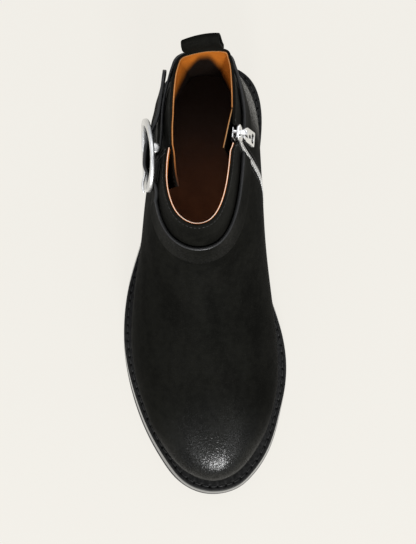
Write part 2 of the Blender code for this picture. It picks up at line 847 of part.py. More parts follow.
def build_buckle():
    """An oval ring of flat band, with a bar behind it on two round lugs."""
    centre, up, forward, out = buckle_frame()
    sections = []
    for angle in np.linspace(0, 2 * np.pi, 44, endpoint=False):
        rise, run = math.cos(angle), math.sin(angle)
        point = centre + up * BUCKLE_HALF_HEIGHT * rise + forward * BUCKLE_HALF_LENGTH * run
        radial = up * rise / BUCKLE_HALF_HEIGHT + forward * run / BUCKLE_HALF_LENGTH
        radial /= np.linalg.norm(radial)
        corners = np.linspace(0, 2 * np.pi, 10, endpoint=False)
        sections.append([
            point + radial * BUCKLE_BAND / 2 * math.cos(c) + out * BUCKLE_THICKNESS / 2 * math.sin(c)
            for c in corners
        ])
    made = sweep("buckle_frame", sections, "nickel", closed=True)
    middle = centre + forward * BAR_OFFSET
    behind = middle - out * BAR_DEPTH
    reach = BUCKLE_HALF_HEIGHT - LUG_THICKNESS / 2
    bar = [behind + up * reach * share for share in (-1.0, -0.4, 0.4, 1.0)]
    join(made, wire("buckle_bar", bar, BAR_RADIUS, "nickel"))
    for name, side in (("buckle_lug_top", 1.0), ("buckle_lug_bottom", -1.0)):
        lug = middle - out * LUG_DEPTH + up * side * reach
        ends = [lug - up * LUG_THICKNESS / 2, lug + up * LUG_THICKNESS / 2]
        join(made, wire(name, ends, LUG_RADIUS, "nickel", sides=16))
    return made


def build_prong():
    centre, up, forward, out = buckle_frame()
    over_strap = STRAP_BULGE + STRAP_THICKNESS / 2 + 1.2 * GAP + PRONG_RADIUS
    over_rim = BUCKLE_THICKNESS / 2 + GAP + PRONG_RADIUS
    rim = BUCKLE_HALF_LENGTH
    route = (
        (-2.5, over_strap),
        (3.0, over_strap),
        (9.0, over_strap - 0.3),
        (rim - 2.0, over_rim + 0.4),
        (rim + PRONG_OVERHANG, over_rim - 0.1),
    )
    points = [centre + forward * along + out * away for along, away in route]
    return wire("buckle_prong", points, PRONG_RADIUS, "nickel", sides=8)


# Flaps and pull loop


def flap(name, inner_side, heights, root, reach, swing, top_drop):
    """A free leather flap inside the shaft: it leaves the wall at root and swings in over its reach."""
    bottom, top = heights
    sections = []
    for part in np.linspace(0, 1, 9):
        inside, outside = [], []
        for level in np.linspace(0, 1, 7):
            z = bottom + (top - top_drop * part - bottom) * level
            station = root(z) + reach * part
            turn = turn_at(station, z, inner_side)
            away = WALL + FLAP_CLEARANCE + swing(level) * part**0.9
            outside.append(shaft_point(turn, z, -away))
            inside.append(shaft_point(turn, z, -away - FLAP_THICKNESS))
        sections.append(outside + inside[::-1])
    return sweep(name, sections, "tan_lining")


def build_side_flap():
    return flap(
        "side_flap",
        inner_side=False,
        heights=(74.0, 129.0),
        root=lambda z: 62.0,
        reach=25.0,
        swing=lambda level: 0.8 + 4.6 * level,
        top_drop=6.0,
    )


def build_zip_guard():
    return flap(
        "zip_guard",
        inner_side=True,
        heights=(52.0, 129.0),
        root=lambda z: zip_station(z) - 14.0,
        reach=23.0,
        swing=lambda level: 4.6,
        top_drop=3.0,
    )


def build_pull_loop():
    """A folded tab that leaves the inside of the collar, leans back and comes down outside the heel."""
    leg = LOOP_THICKNESS / 2 + LOOP_CLEARANCE
    inner = -WALL / 2
    collar = BACK_LINE[-1][1]
    route = (
        (leg, collar - 20.0),
        (leg, collar - 10.0),
        (leg + 0.2, collar - 1.0),
        (leg + 2.0, collar + 7.5),
        (leg + 4.0, collar + 14.5),
        (leg + 3.0, collar + 17.2),
        (leg + 0.4, collar + 15.6),
        (inner + 1.4, collar + 6.0),
        (inner, collar + GAP),
    )
    points = np.array(route)
    along = np.gradient(points, axis=0)
    along /= np.linalg.norm(along, axis=1)[:, None]
    normal = np.stack([along[:, 1], -along[:, 0]], axis=-1)
    outer_line = points + normal * LOOP_THICKNESS / 2
    inner_line = points - normal * LOOP_THICKNESS / 2
    line = np.concatenate([outer_line, inner_line[::-1]])
    middle = shaft_point(0.0, collar)
    sections = []
    for turn in np.linspace(-LOOP_HALF_TURN, LOOP_HALF_TURN, 7) % (2 * math.pi):
        base = shaft_point(turn, collar)
        section = []
        for out, z in line:
            above = max(z - collar, 0.0)
            skew = LOOP_BASE_SKEW * smoothstep(above, 0.0, LOOP_BASE_RISE) + LOOP_SKEW * above / LOOP_HEIGHT
            face = shaft_point(turn, min(z, collar))
            section.append((base[0] + LOOP_SHIFT, face[1] - out - skew * (base[0] - middle[0]), z))
        sections.append(section)
    return sweep("pull_loop", sections, "black_nubuck")


def main():
    for old in list(bpy.data.objects):
        bpy.data.objects.remove(old, do_unlink=True)
    build_outsole()
    build_welt()
    build_heel()
    build_insole()
    upper = build_upper()
    build_zip_slit(upper)
    build_zip_chain()
    build_zip_slider()
    build_zip_pull()
    build_back_strap()
    build_front_strap()
    build_buckle()
    build_prong()
    build_side_flap()
    build_zip_guard()
    build_pull_loop()


main()
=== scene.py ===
# %% [markdown]
# This lesson dresses a right-foot ankle boot: black waxed nubuck, tan lining, an ankle strap with an
# oval buckle, and a zip on the inner side.
# The boot's solid pieces come from a packed CAD model, loaded here as a fixed frame.
# We could paint those solids as they are, but leather needs laps, cut edges and stitches.
# So most pieces are made again, finer, on the same curves, and each one says which solid it stands for.

# %% Load the frame
import math

import bpy
import numpy as np
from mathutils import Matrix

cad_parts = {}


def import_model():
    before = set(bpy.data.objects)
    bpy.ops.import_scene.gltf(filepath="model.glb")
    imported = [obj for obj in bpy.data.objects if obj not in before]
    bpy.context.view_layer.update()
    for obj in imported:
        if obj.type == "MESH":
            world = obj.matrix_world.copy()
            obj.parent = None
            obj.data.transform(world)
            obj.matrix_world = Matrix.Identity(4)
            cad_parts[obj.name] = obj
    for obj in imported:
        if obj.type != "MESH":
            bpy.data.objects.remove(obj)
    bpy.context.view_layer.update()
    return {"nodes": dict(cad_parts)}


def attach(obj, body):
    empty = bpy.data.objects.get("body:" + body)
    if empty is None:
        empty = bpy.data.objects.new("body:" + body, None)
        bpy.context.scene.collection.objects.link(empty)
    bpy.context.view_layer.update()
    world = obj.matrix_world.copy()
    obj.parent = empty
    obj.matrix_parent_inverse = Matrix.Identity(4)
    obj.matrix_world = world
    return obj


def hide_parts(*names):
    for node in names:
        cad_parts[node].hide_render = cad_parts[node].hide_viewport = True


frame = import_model()
print("CAD nodes:", sorted(frame["nodes"]))

# %% [markdown]
# A boot is drawn round a last, the wooden foot that it is pulled over.
# Here the last is a handful of short tables, in millimetres. A "station" is a distance forward of the
# heel's back edge, and a "turn" is an angle round the boot: 0 at the back, pi at the front, with the
# outer side between them and the inner side after them.
# These are the CAD's own tables, so what we make lies on its solids with no fitting. Only the sole's plan
# is let out again by a millimetre or two: at the heel's inner corner, beside the ball and round the toe.

# %% The last's tables
MM = 0.001
HEEL_ORIGIN = 31.0
TOE_STATION = 267.0
GAP = 0.3
WALL = 2.4

SOLE_PLAN = (
    (0.0, 0.0, 0.0), (3.0, 14.5, 16.6), (9.0, 23.5, 26.2), (18.0, 30.0, 32.0), (30.0, 33.8, 34.8),
    (46.0, 34.8, 34.9), (75.0, 34.5, 31.8), (100.0, 38.3, 30.3), (120.0, 44.0, 32.5), (140.0, 50.0, 37.7),
    (160.0, 53.3, 44.7), (175.0, 53.9, 49.1), (190.0, 52.8, 51.3), (205.0, 49.9, 50.8), (222.0, 44.7, 47.5),
    (238.0, 37.7, 43.3), (252.0, 29.4, 36.9), (262.0, 21.9, 29.4), (269.5, 12.4, 20.6), (273.8, -3.6, 3.6),
)
WELT_MARGIN = ((0.0, 4.0), (60.0, 4.2), (120.0, 4.4), (180.0, 6.2), (235.0, 7.2), (275.0, 8.6))
UPPER_PLAN = (
    (2.5, 0.0, 0.0), (5.0, 11.5, 11.8), (11.0, 19.5, 20.0), (20.0, 25.6, 26.3), (35.0, 30.4, 31.3),
    (60.0, 34.4, 33.6), (90.0, 38.8, 35.3), (118.0, 42.0, 37.3), (140.0, 45.4, 39.9), (158.0, 47.4, 42.3),
    (173.0, 48.2, 44.2), (190.0, 47.2, 45.2), (205.0, 44.4, 44.9), (220.0, 39.7, 42.4), (235.0, 33.6, 37.6),
    (248.0, 25.4, 30.6), (257.0, 18.0, 23.8), (263.2, 9.4, 16.4), (267.0, -4.0, 4.0),
)
COLLAR_PLAN = (
    (0.0, 1.0, -1.0), (0.004, 7.6, 5.8), (0.016, 14.0, 11.2), (0.06, 18.4, 14.3), (0.10, 19.7, 15.4),
    (0.18, 20.9, 16.3), (0.30, 21.6, 16.6), (0.46, 22.3, 16.0), (0.56, 23.7, 15.4), (0.66, 25.1, 14.4),
    (0.78, 24.7, 12.4), (0.87, 22.3, 9.7), (0.94, 18.3, 6.0), (0.977, 13.9, 2.2), (1.0, 5.9, -5.9),
)
FEATHER_HEIGHT = (
    (0.0, 34.0), (45.0, 32.3), (80.0, 26.8), (115.0, 19.2), (150.0, 12.6),
    (185.0, 9.7), (215.0, 11.1), (245.0, 15.2), (275.0, 22.2),
)
FRONT_LINE = (
    (264.9, 19.8), (266.7, 25.8), (267.0, 31.2), (265.0, 38.0), (259.2, 44.0), (249.0, 48.8), (232.0, 53.4),
    (209.0, 58.4), (184.0, 63.8), (161.5, 69.8), (143.5, 77.4), (131.5, 86.8), (124.6, 97.0),
    (118.2, 111.0), (110.9, 128.0),
)
BACK_LINE = (
    (4.0, 34.0), (2.9, 42.0), (2.5, 52.0), (3.2, 66.0), (4.8, 80.0), (5.7, 95.0), (5.8, 112.0), (5.3, 133.0),
)
RIDGE_X = ((100.0, -6.4), (126.0, -4.8), (150.0, -2.4), (200.0, 1.2), (240.0, 3.2), (267.0, 4.0))
ARCH = (
    (0.0, 20.0, 2.0, 2.0), (60.0, 26.0, 2.0, 2.0), (110.0, 24.0, 1.9, 1.6), (150.0, 19.0, 1.9, 1.6),
    (190.0, 16.0, 2.1, 1.9), (235.0, 14.0, 2.5, 2.2), (275.0, 12.0, 2.5, 2.2),
)
SHAFT_SHARE = (
    (45.0, 1.72), (60.0, 1.62), (80.0, 1.46), (93.0, 1.34), (102.0, 1.265), (111.0, 1.19), (133.0, 1.0),
)
ZIP_LINE = (
    (40.0, 91.5), (60.0, 81.2), (77.0, 72.4), (88.0, 66.6), (100.0, 61.2), (112.0, 57.0), (133.0, 53.6),
)
print("sole length", SOLE_PLAN[-1][0], "mm")

# %% [markdown]
# Between the rows of a table we want a smooth curve, as a thin wooden batten gives a boat builder.
# Blender's own curves could do it, but we also ask for values at thousands of points at once.
# A natural cubic spline in numpy answers them all in one call.

# %% Battens through the tables
def spline(knots, values):
    """A natural cubic spline through the knots, as a function that holds its end values."""
    x, y = np.asarray(knots, float), np.asarray(values, float)
    step = np.diff(x)
    count = len(x)
    matrix, right = np.eye(count), np.zeros(count)
    for i in range(1, count - 1):
        matrix[i, i - 1 : i + 2] = step[i - 1], 2 * (step[i - 1] + step[i]), step[i]
        right[i] = 6 * ((y[i + 1] - y[i]) / step[i] - (y[i] - y[i - 1]) / step[i - 1])
    bend = np.linalg.solve(matrix, right)

    def at(q):
        q = np.clip(q, x[0], x[-1])
        i = np.clip(np.searchsorted(x, q) - 1, 0, count - 2)
        after, before = q - x[i], x[i + 1] - q
        curved = (bend[i] * before**3 + bend[i + 1] * after**3) / (6 * step[i])
        low = (y[i] / step[i] - bend[i] * step[i] / 6) * before
        high = (y[i + 1] / step[i] - bend[i + 1] * step[i] / 6) * after
        return curved + low + high

    return at


def table(rows):
    """One spline for each column of a table after its first."""
    columns = np.array(rows).T
    return [spline(columns[0], column) for column in columns[1:]]


def arc_spline(rows):
    """A curve through the rows' points, one function of the share of its length for each column."""
    points = np.array(rows)
    chord = np.concatenate([[0.0], np.cumsum(np.hypot(*np.diff(points, axis=0).T))])
    return [spline(chord / chord[-1], column) for column in points.T]


def smoothstep(value, low, high):
    t = np.clip((value - low) / (high - low), 0, 1)
    return t * t * (3 - 2 * t)


class Outline:
    """A closed plan curve: the half-width on each side against an angle, 0 at its back and pi in front."""

    SAMPLES = 400

    def __init__(self, back, front, angles, outer, inner):
        self.back, self.front = back, front
        self.outer, self.inner = spline(angles, outer), spline(angles, inner)

    @classmethod
    def from_rows(cls, rows):
        station, outer, inner = np.array(rows).T
        share = (station - station[0]) / (station[-1] - station[0])
        return cls(station[0], station[-1], np.arccos(1 - 2 * share), outer, inner)

    def x(self, turn):
        angle = np.where(turn <= np.pi, turn, 2 * np.pi - turn)
        return np.where(turn <= np.pi, -self.outer(angle), self.inner(angle))

    def station(self, turn):
        return self.back + (self.front - self.back) * (1 - np.cos(turn)) / 2

    def inset(self, margin):
        """This outline moved in by margin, a number or a function of the station and x."""
        turn = np.linspace(0, 2 * np.pi, self.SAMPLES, endpoint=False)
        x, station = self.x(turn), self.station(turn)
        along_x = np.roll(x, -1) - np.roll(x, 1)
        along_s = np.roll(station, -1) - np.roll(station, 1)
        size = np.hypot(along_x, along_s)
        move = margin(station, x) if callable(margin) else margin
        x, station = x + along_s / size * move, station - along_x / size * move
        half = self.SAMPLES // 2
        back, front = station[0], station[half]
        angle = np.arccos(np.clip(1 - 2 * (station - back) / (front - back), -1, 1))
        outer_angle, inner_angle = angle[: half + 1], np.append(angle[0], angle[: half - 1 : -1])
        outer_x, inner_x = -x[: half + 1], np.append(x[0], x[: half - 1 : -1])
        every = np.linspace(0, np.pi, half // 5)
        outer = np.interp(every, outer_angle, outer_x)
        inner = np.interp(every, inner_angle, inner_x)
        return Outline(back, front, every, outer, inner)


feather_height = table(FEATHER_HEIGHT)[0]
welt_margin = table(WELT_MARGIN)[0]
ridge_x = table(RIDGE_X)[0]
widest_height, arch_rise, arch_fall = table(ARCH)
shaft_share = table(SHAFT_SHARE)[0]
zip_station = table(ZIP_LINE)[0]
front_line, back_line = arc_spline(FRONT_LINE), arc_spline(BACK_LINE)
sole_outline, upper_outline = Outline.from_rows(SOLE_PLAN), Outline.from_rows(UPPER_PLAN)
collar_outline = Outline.from_rows(COLLAR_PLAN)
feather_outline = sole_outline.inset(lambda station, x: welt_margin(station))
print("feather edge runs from station", feather_outline.back, "to", feather_outline.front)

# %% [markdown]
# The upper's outer face is one surface: low down it follows the foot's arch in cross-section, and
# higher up it becomes a shaft with the collar's plan.
# Sculpting could give such a shape, but then nothing else could be laid on it exactly.
# As a formula, the same face tells the lining, the strap and every stitch where the leather is.
# Soft leather doesn't stay square: the back of the collar has turned a little, so the formula ends by
# skewing it.

# %% The upper's face as a formula
ARCH_LIMIT = 0.5
SHAFT_BLEND = (52.0, 104.0)
VIRTUAL_RIDGE_SLOPE = 3.0
HEEL_FLARE_SHARES = (0.0, 0.34)
SMALL_TURN, SMALL_RISE = 0.02, 1.0
COLLAR_SKEW, SKEW_HEIGHTS, SKEW_STATIONS = 0.115, (106.0, 129.0), (12.0, 42.0)

fine_share = np.linspace(0, 1, 4000)
fine_front = np.array([column(fine_share) for column in front_line])
fine_back = np.array([column(fine_share) for column in back_line])
toe_index = int(np.argmax(fine_front[0]))
toe_share = fine_share[toe_index]
over_toe = fine_front[:, toe_index:]
collar_front = over_toe[0][-1]


def front_station(z):
    return np.interp(z, over_toe[1], over_toe[0])


def back_station(z):
    return np.interp(z, fine_back[1], fine_back[0])


def ridge_height(station):
    """Height of the instep's ridge, carried on steeply behind the collar, where the boot is open."""
    on_foot = np.interp(station, over_toe[0][::-1], over_toe[1][::-1])
    return on_foot + np.maximum(collar_front - station, 0) * VIRTUAL_RIDGE_SLOPE


def upper_x(turn, station, z, heel_end, toe_end):
    """x of the upper's outer face at a station and height, on the side that the turn gives."""
    inner_side = np.asarray(turn) > np.pi
    share = np.clip((station - heel_end) / (toe_end - heel_end), 0, 1)
    angle = np.arccos(1 - 2 * share)
    plan_turn = np.where(inner_side, 2 * np.pi - angle, angle)
    widest, feather = upper_outline.x(plan_turn), feather_outline.x(plan_turn)
    low, high = feather_height(station), ridge_height(station)
    rise = np.maximum(high - low, 1.0)
    level = np.clip((z - low) / rise, 0, 1)
    bulge = np.minimum(widest_height(station) / rise, ARCH_LIMIT)
    under = np.clip((bulge - level) / bulge, 0, 1)
    over = np.clip((level - bulge) / (1 - bulge), 0, 1)
    arch = (1 - over ** arch_rise(station)) ** (1 / arch_fall(station))
    middle = ridge_x(station)
    foot = np.where(level < bulge, widest + (feather - widest) * under**2, middle + (widest - middle) * arch)

    back, front = back_station(z), front_station(z)
    slice_share = np.clip((station - back) / (front - back), 0, 1)
    slice_angle = np.arccos(1 - 2 * slice_share)
    slice_turn = np.where(inner_side, 2 * np.pi - slice_angle, slice_angle)
    back_x = collar_outline.x(0.0)
    collar_middle = back_x + (collar_outline.x(np.pi) - back_x) * slice_share
    middle = back_x + (ridge_x(front) - back_x) * slice_share
    flare = 1 + (shaft_share(z) - 1) * smoothstep(slice_share, *HEEL_FLARE_SHARES)
    shaft = middle + (collar_outline.x(slice_turn) - collar_middle) * flare
    return foot + (shaft - foot) * smoothstep(z, *SHAFT_BLEND)


def skewed(x, station, z):
    """The face's points, with the back of the collar turned: its inner side moves back."""
    at_back = smoothstep(z, *SKEW_HEIGHTS) * (1 - smoothstep(station, *SKEW_STATIONS))
    return np.stack([x, station - COLLAR_SKEW * x * at_back, z], axis=-1)


def upper_face(share, turn):
    """Points of the upper's outer face: share 0 is the feather edge and 1 the collar."""
    share, turn = np.broadcast_arrays(share, np.asarray(turn) % (2 * np.pi))
    back, back_z = (column(share) for column in back_line)
    front, front_z = (column(share) for column in front_line)
    part = (1 - np.cos(turn)) / 2
    station = back + (front - back) * part
    lift_back, lift_front = back_z - feather_height(back), front_z - feather_height(front)
    along_foot = feather_height(station) + lift_back + (lift_front - lift_back) * part
    level = back_z + (front_z - back_z) * part
    z = along_foot + (level - along_foot) * share
    toe_end = np.where(share < toe_share, front, TOE_STATION)
    return skewed(upper_x(turn, station, z, back, toe_end), station, z)


def shaft_face(turn, z):
    """Points of the shaft's outer face at turns and heights."""
    turn, z = np.broadcast_arrays(np.asarray(turn, float) % (2 * np.pi), np.asarray(z, float))
    back, front = back_station(z), front_station(z)
    station = back + (front - back) * (1 - np.cos(turn)) / 2
    return skewed(upper_x(turn, station, z, back, TOE_STATION), station, z)


def unit(vectors):
    return vectors / np.linalg.norm(vectors, axis=-1, keepdims=True)


def on_shaft(turn, z, out=0.0):
    """Points of the shaft moved out from its face along the face's normal."""
    around = shaft_face(turn + SMALL_TURN, z) - shaft_face(turn - SMALL_TURN, z)
    up = shaft_face(turn, z + SMALL_RISE) - shaft_face(turn, z - SMALL_RISE)
    normal = unit(np.cross(around, up))
    point = shaft_face(turn, z)
    outward = np.sum(normal * (point - shaft_face(turn + np.pi, z)), axis=-1, keepdims=True)
    return point + normal * np.sign(outward) * np.asarray(out)[..., None]


def turn_at(station, z, inner_side):
    """The turn at which a horizontal slice of the shaft passes a station."""
    back, front = back_station(z), front_station(z)
    angle = np.arccos(np.clip(1 - 2 * (station - back) / (front - back), -1, 1))
    return 2 * np.pi - angle if inner_side else angle


print("collar: back", upper_face(1.0, 0.0), "front", upper_face(1.0, np.pi))

# %% [markdown]
# Every mesh below is made from a grid of points.
# A leather panel is a shell: a face, a back a little behind it, and the cut edge that joins them.
# A strap or a ring is a loft: one cross-section carried along a line.
# Blender's Solidify and Bevel modifiers do the same work, but with the grid in hand we can skive an edge
# or round it where we like. Each helper gives a blank, its points, faces and finish numbers.

# %% Shells, lofts and pieces
SHARP_ANGLE = math.radians(48.0)


def shell(face, back, edges):
    """A closed sheet between two grids of points, with finish 0 on its face and 1 on its back.

    Edges is the finish of its rim, or the finishes of its bottom, top, first and last rims.
    """
    rows, columns = face.shape[:2]
    index = np.arange(rows * columns).reshape(rows, columns)
    behind = index + rows * columns

    def quads(a, b, c, d):
        return np.stack([a, b, c, d], axis=-1).reshape(-1, 4)

    front = quads(index[:-1, :-1], index[:-1, 1:], index[1:, 1:], index[1:, :-1])
    rear = quads(behind[1:, :-1], behind[1:, 1:], behind[:-1, 1:], behind[:-1, :-1])
    rims = [
        quads(index[0, 1:], index[0, :-1], behind[0, :-1], behind[0, 1:]),
        quads(index[-1, :-1], index[-1, 1:], behind[-1, 1:], behind[-1, :-1]),
        quads(index[:-1, 0], index[1:, 0], behind[1:, 0], behind[:-1, 0]),
        quads(index[1:, -1], index[:-1, -1], behind[:-1, -1], behind[1:, -1]),
    ]
    points = np.concatenate([face.reshape(-1, 3), back.reshape(-1, 3)])
    marks = [0] * len(front) + [1] * len(rear)
    for rim, edge in zip(rims, np.broadcast_to(edges, 4).tolist()):
        marks += [edge] * len(rim)
    return points, np.concatenate([front, rear, *rims]).tolist(), marks


def loft(rings, ring_closed=False, strips=False, column_marks=None, row_marks=None):
    """A solid through rings of points. Its ends are capped, in strips from side to side where asked."""
    rings = np.asarray(rings, float)
    rows, columns = rings.shape[:2]
    index = np.arange(rows * columns).reshape(rows, columns)
    after = np.roll(index, -1, axis=1)
    last = rows if ring_closed else rows - 1
    above = np.roll(index, -1, axis=0)
    faces = np.stack([index[:last], after[:last], np.roll(above, -1, axis=1)[:last], above[:last]], axis=-1)
    faces = faces.reshape(-1, 4).tolist()
    marks = [0] * len(faces) if column_marks is None else list(column_marks) * last
    if row_marks is not None:
        marks = np.repeat(row_marks, columns).tolist()
    if not ring_closed:
        ends = [index[0][::-1].tolist(), index[-1].tolist()]
        if not strips:
            faces += ends
        else:
            for base, order in ((index[0], -1), (index[-1], 1)):
                for i in range(columns // 2):
                    corners = [base[i], base[i + 1], base[columns - i - 1], base[-i] if i else base[0]]
                    faces.append([int(c) for c in dict.fromkeys(corners)][::order])
    return rings.reshape(-1, 3), faces, marks + [0] * (len(faces) - len(marks))


def world(points):
    """Points of x, station and height in millimetres as x, y, z in metres."""
    points = np.asarray(points, float)
    return np.stack([points[..., 0], HEEL_ORIGIN - points[..., 1], points[..., 2]], axis=-1) * MM


def signed_volume(points, faces):
    """Six times the volume inside the faces: below zero where they point in."""
    by_corners = {}
    for face in faces:
        by_corners.setdefault(len(face), []).append(face)
    total = 0.0
    for same in by_corners.values():
        corners = points[np.array(same)]
        for k in range(1, corners.shape[1] - 1):
            total += np.sum(corners[:, 0] * np.cross(corners[:, k], corners[:, k + 1]))
    return total


def make_piece(name, blanks, finishes):
    """One object from blanks, with its faces turned out and its finishes in order."""
    points, faces, marks, start = [], [], [], 0
    for blank_points, blank_faces, blank_marks in blanks:
        placed = world(blank_points)
        turned = signed_volume(placed - placed.mean(axis=0), blank_faces) < 0
        for face in blank_faces:
            face = [corner + start for corner in face]
            faces.append(face[::-1] if turned else face)
        points.append(placed)
        marks += blank_marks
        start += len(placed)
    mesh = bpy.data.meshes.new(name)
    mesh.from_pydata(np.concatenate(points).tolist(), [], faces)
    for finish in finishes:
        mesh.materials.append(finish)
    mesh.polygons.foreach_set("material_index", np.minimum(marks, len(finishes) - 1).astype(np.int32))
    mesh.shade_smooth()
    mesh.set_sharp_from_angle(angle=SHARP_ANGLE)
    mesh.validate()
    piece = bpy.data.objects.new(name, mesh)
    bpy.context.scene.collection.objects.link(piece)
    return piece


def seat(piece, slot, *nodes, body="boot"):
    """Puts a piece on its body and names the solids that it stands for. Its slot is not used."""
    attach(piece, body)
    if nodes:
        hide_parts(*nodes)
    print(f"{piece.name}: {len(piece.data.polygons)} faces, stands for {nodes or 'nothing'}")


print("a loft through two rings of four points has", len(loft(np.zeros((2, 4, 3)))[1]), "faces")

# %% [markdown]
# Finishes come next. Each is a small node tree on a Principled shader, driven by the object's own
# coordinates in metres, so a scale of 1000 is a speck of about a millimetre.
# Photographed textures would be quicker, but they stretch and show seams on such round shapes.
# What stays the same all over a surface is typed into the shader's own socket.

# %% A workbench for finishes
class Finish:
    """A material under way: its shader, and short ways to add the nodes that these finishes use."""

    def __init__(self, name, **sockets):
        self.material = bpy.data.materials.new(name)
        self.material.use_nodes = True
        self.nodes, self.links = self.material.node_tree.nodes, self.material.node_tree.links
        self.shader = self.nodes["Principled BSDF"]
        for socket, value in sockets.items():
            self.shader.inputs[socket.replace("_", " ")].default_value = value
        self.place = self.nodes.new("ShaderNodeTexCoord").outputs["Object"]

    def feed(self, node, *in_order, **named):
        """Links or types values into a node's inputs, the first of them in order and the rest by name."""
        for socket, value in [*enumerate(in_order), *named.items()]:
            if hasattr(value, "is_output"):
                self.links.new(value, node.inputs[socket])
            else:
                node.inputs[socket].default_value = value

    def stretched(self, scale):
        node = self.nodes.new("ShaderNodeMapping")
        self.feed(node, Vector=self.place, Scale=scale)
        return node.outputs["Vector"]

    def noise(self, scale, detail, rough=0.55, place=None):
        node = self.nodes.new("ShaderNodeTexNoise")
        self.feed(node, Vector=place or self.place, Scale=scale, Detail=detail, Roughness=rough)
        return node.outputs["Fac"]

    def cells(self, scale):
        node = self.nodes.new("ShaderNodeTexVoronoi")
        self.feed(node, Vector=self.place, Scale=scale)
        return node.outputs["Distance"]

    def wave(self, scale, distortion, direction):
        node = self.nodes.new("ShaderNodeTexWave")
        node.bands_direction = direction
        self.feed(node, Vector=self.place, Scale=scale, Distortion=distortion)
        return node.outputs["Fac"]

    def maths(self, operation, a, b=0.5):
        node = self.nodes.new("ShaderNodeMath")
        node.operation = operation
        self.feed(node, a, b)
        return node.outputs[0]

    def spread(self, value, low, high, to_low=0.0, to_high=1.0):
        """A value between low and high, mapped to another range."""
        node = self.nodes.new("ShaderNodeMapRange")
        node.interpolation_type = "SMOOTHSTEP"
        self.feed(node, value, low, high, to_low, to_high)
        return node.outputs[0]

    def vector_maths(self, operation, other):
        node = self.nodes.new("ShaderNodeVectorMath")
        node.operation = operation
        self.feed(node, self.place, other)
        return node.outputs["Value"]

    def along(self, direction):
        """How far a point lies in a direction."""
        return self.vector_maths("DOT_PRODUCT", direction)

    def distance_to(self, point):
        return self.vector_maths("DISTANCE", point)

    def blend(self, share, first, second):
        """Two colours mixed by a share."""
        node = self.nodes.new("ShaderNodeMix")
        node.data_type = "RGBA"
        self.feed(node, share)
        for socket, colour in ((node.inputs[6], first), (node.inputs[7], second)):
            if hasattr(colour, "is_output"):
                self.links.new(colour, socket)
            else:
                socket.default_value = (*colour, 1.0)
        return node.outputs[2]

    def bump(self, height, depth, under=None):
        """A relief of a depth in millimetres, on top of another one where given."""
        node = self.nodes.new("ShaderNodeBump")
        self.feed(node, Height=height, Distance=depth * MM, Strength=1.0)
        if under is not None:
            self.links.new(under, node.inputs["Normal"])
        return node.outputs["Normal"]

    def done(self, colour, roughness, normal, coat=None, coat_normal=None):
        sockets = [("Base Color", colour), ("Roughness", roughness), ("Normal", normal)]
        sockets += [("Coat Weight", coat), ("Coat Normal", coat_normal)]
        for socket, value in sockets:
            if value is not None:
                self.links.new(value, self.shader.inputs[socket])
        print("finish:", self.material.name, len(self.nodes), "nodes")
        return self.material


print("the workbench has:", [tool for tool in vars(Finish) if not tool.startswith("_")])

# %% [markdown]
# Waxed nubuck is calf leather with its grain buffed to a short nap and a little wax rubbed in.
# It is nearly black and matt, with long cloudy patches where the nap lies the other way.
# Only the toe, the heel's inner side and the strap's front are rubbed to a shine.
# We could lower the roughness there, but the wax lies over the nap, so it is a clear coat of its own. Its
# weight fades with the distance from the rubbed spot and is broken up by a fine noise, and it has a relief
# of its own, deeper than the nap's. Both split the shine into grains.

# %% Waxed nubuck
TOE_CROWN = (0.0056, -0.224, 0.046)
HEEL_SIDE_SPOT = (0.031, 0.006, 0.068)
STRAP_FRONT_SPOT = (-0.004, -0.102, 0.096)
WAX_CORE = 0.006
NAP_DARK, NAP_LIGHT, NAP_SPECK = (0.0026, 0.0026, 0.0020), (0.0056, 0.0056, 0.0044), (0.0150, 0.0148, 0.0122)


def waxed_nubuck(name, spot, reach, most):
    """Nubuck with the most wax at a spot and none further from it than reach."""
    finish = Finish(name, Specular_IOR_Level=0.032, Coat_Roughness=0.16)
    clouds = finish.noise(58.0, 4.0, 0.6, finish.stretched((1.0, 0.42, 1.0)))
    patches = finish.noise(260.0, 3.0)
    pores = finish.noise(1100.0, 2.0, 0.6)
    large, small = finish.maths("MULTIPLY", clouds, 0.65), finish.maths("MULTIPLY", patches, 0.35)
    mottle = finish.maths("ADD", large, small)
    colour = finish.blend(finish.spread(mottle, 0.34, 0.66), NAP_DARK, NAP_LIGHT)
    speck = finish.maths("MULTIPLY", finish.spread(pores, 0.55, 0.8), 0.35)
    colour = finish.blend(speck, colour, NAP_SPECK)
    rough = finish.spread(mottle, 0.3, 0.7, 0.80, 0.70)
    grain = finish.bump(finish.cells(900.0), 0.05)
    nap = finish.bump(pores, 0.14, grain)
    wax = finish.spread(finish.distance_to(spot), WAX_CORE, reach, most, 0.0)
    wax = finish.maths("MULTIPLY", wax, finish.spread(finish.noise(1500.0, 1.0), 0.38, 0.62, 0.3, 1.35))
    wax_grain = finish.bump(finish.noise(1250.0, 1.0, 0.5), 0.18)
    return finish.done(colour, rough, nap, wax, wax_grain)


vamp_nubuck = waxed_nubuck("waxed_nubuck_vamp", TOE_CROWN, 0.052, 0.45)
shaft_nubuck = waxed_nubuck("waxed_nubuck_shaft", HEEL_SIDE_SPOT, 0.034, 0.5)
strap_nubuck = waxed_nubuck("waxed_nubuck_strap", STRAP_FRONT_SPOT, 0.050, 0.16)
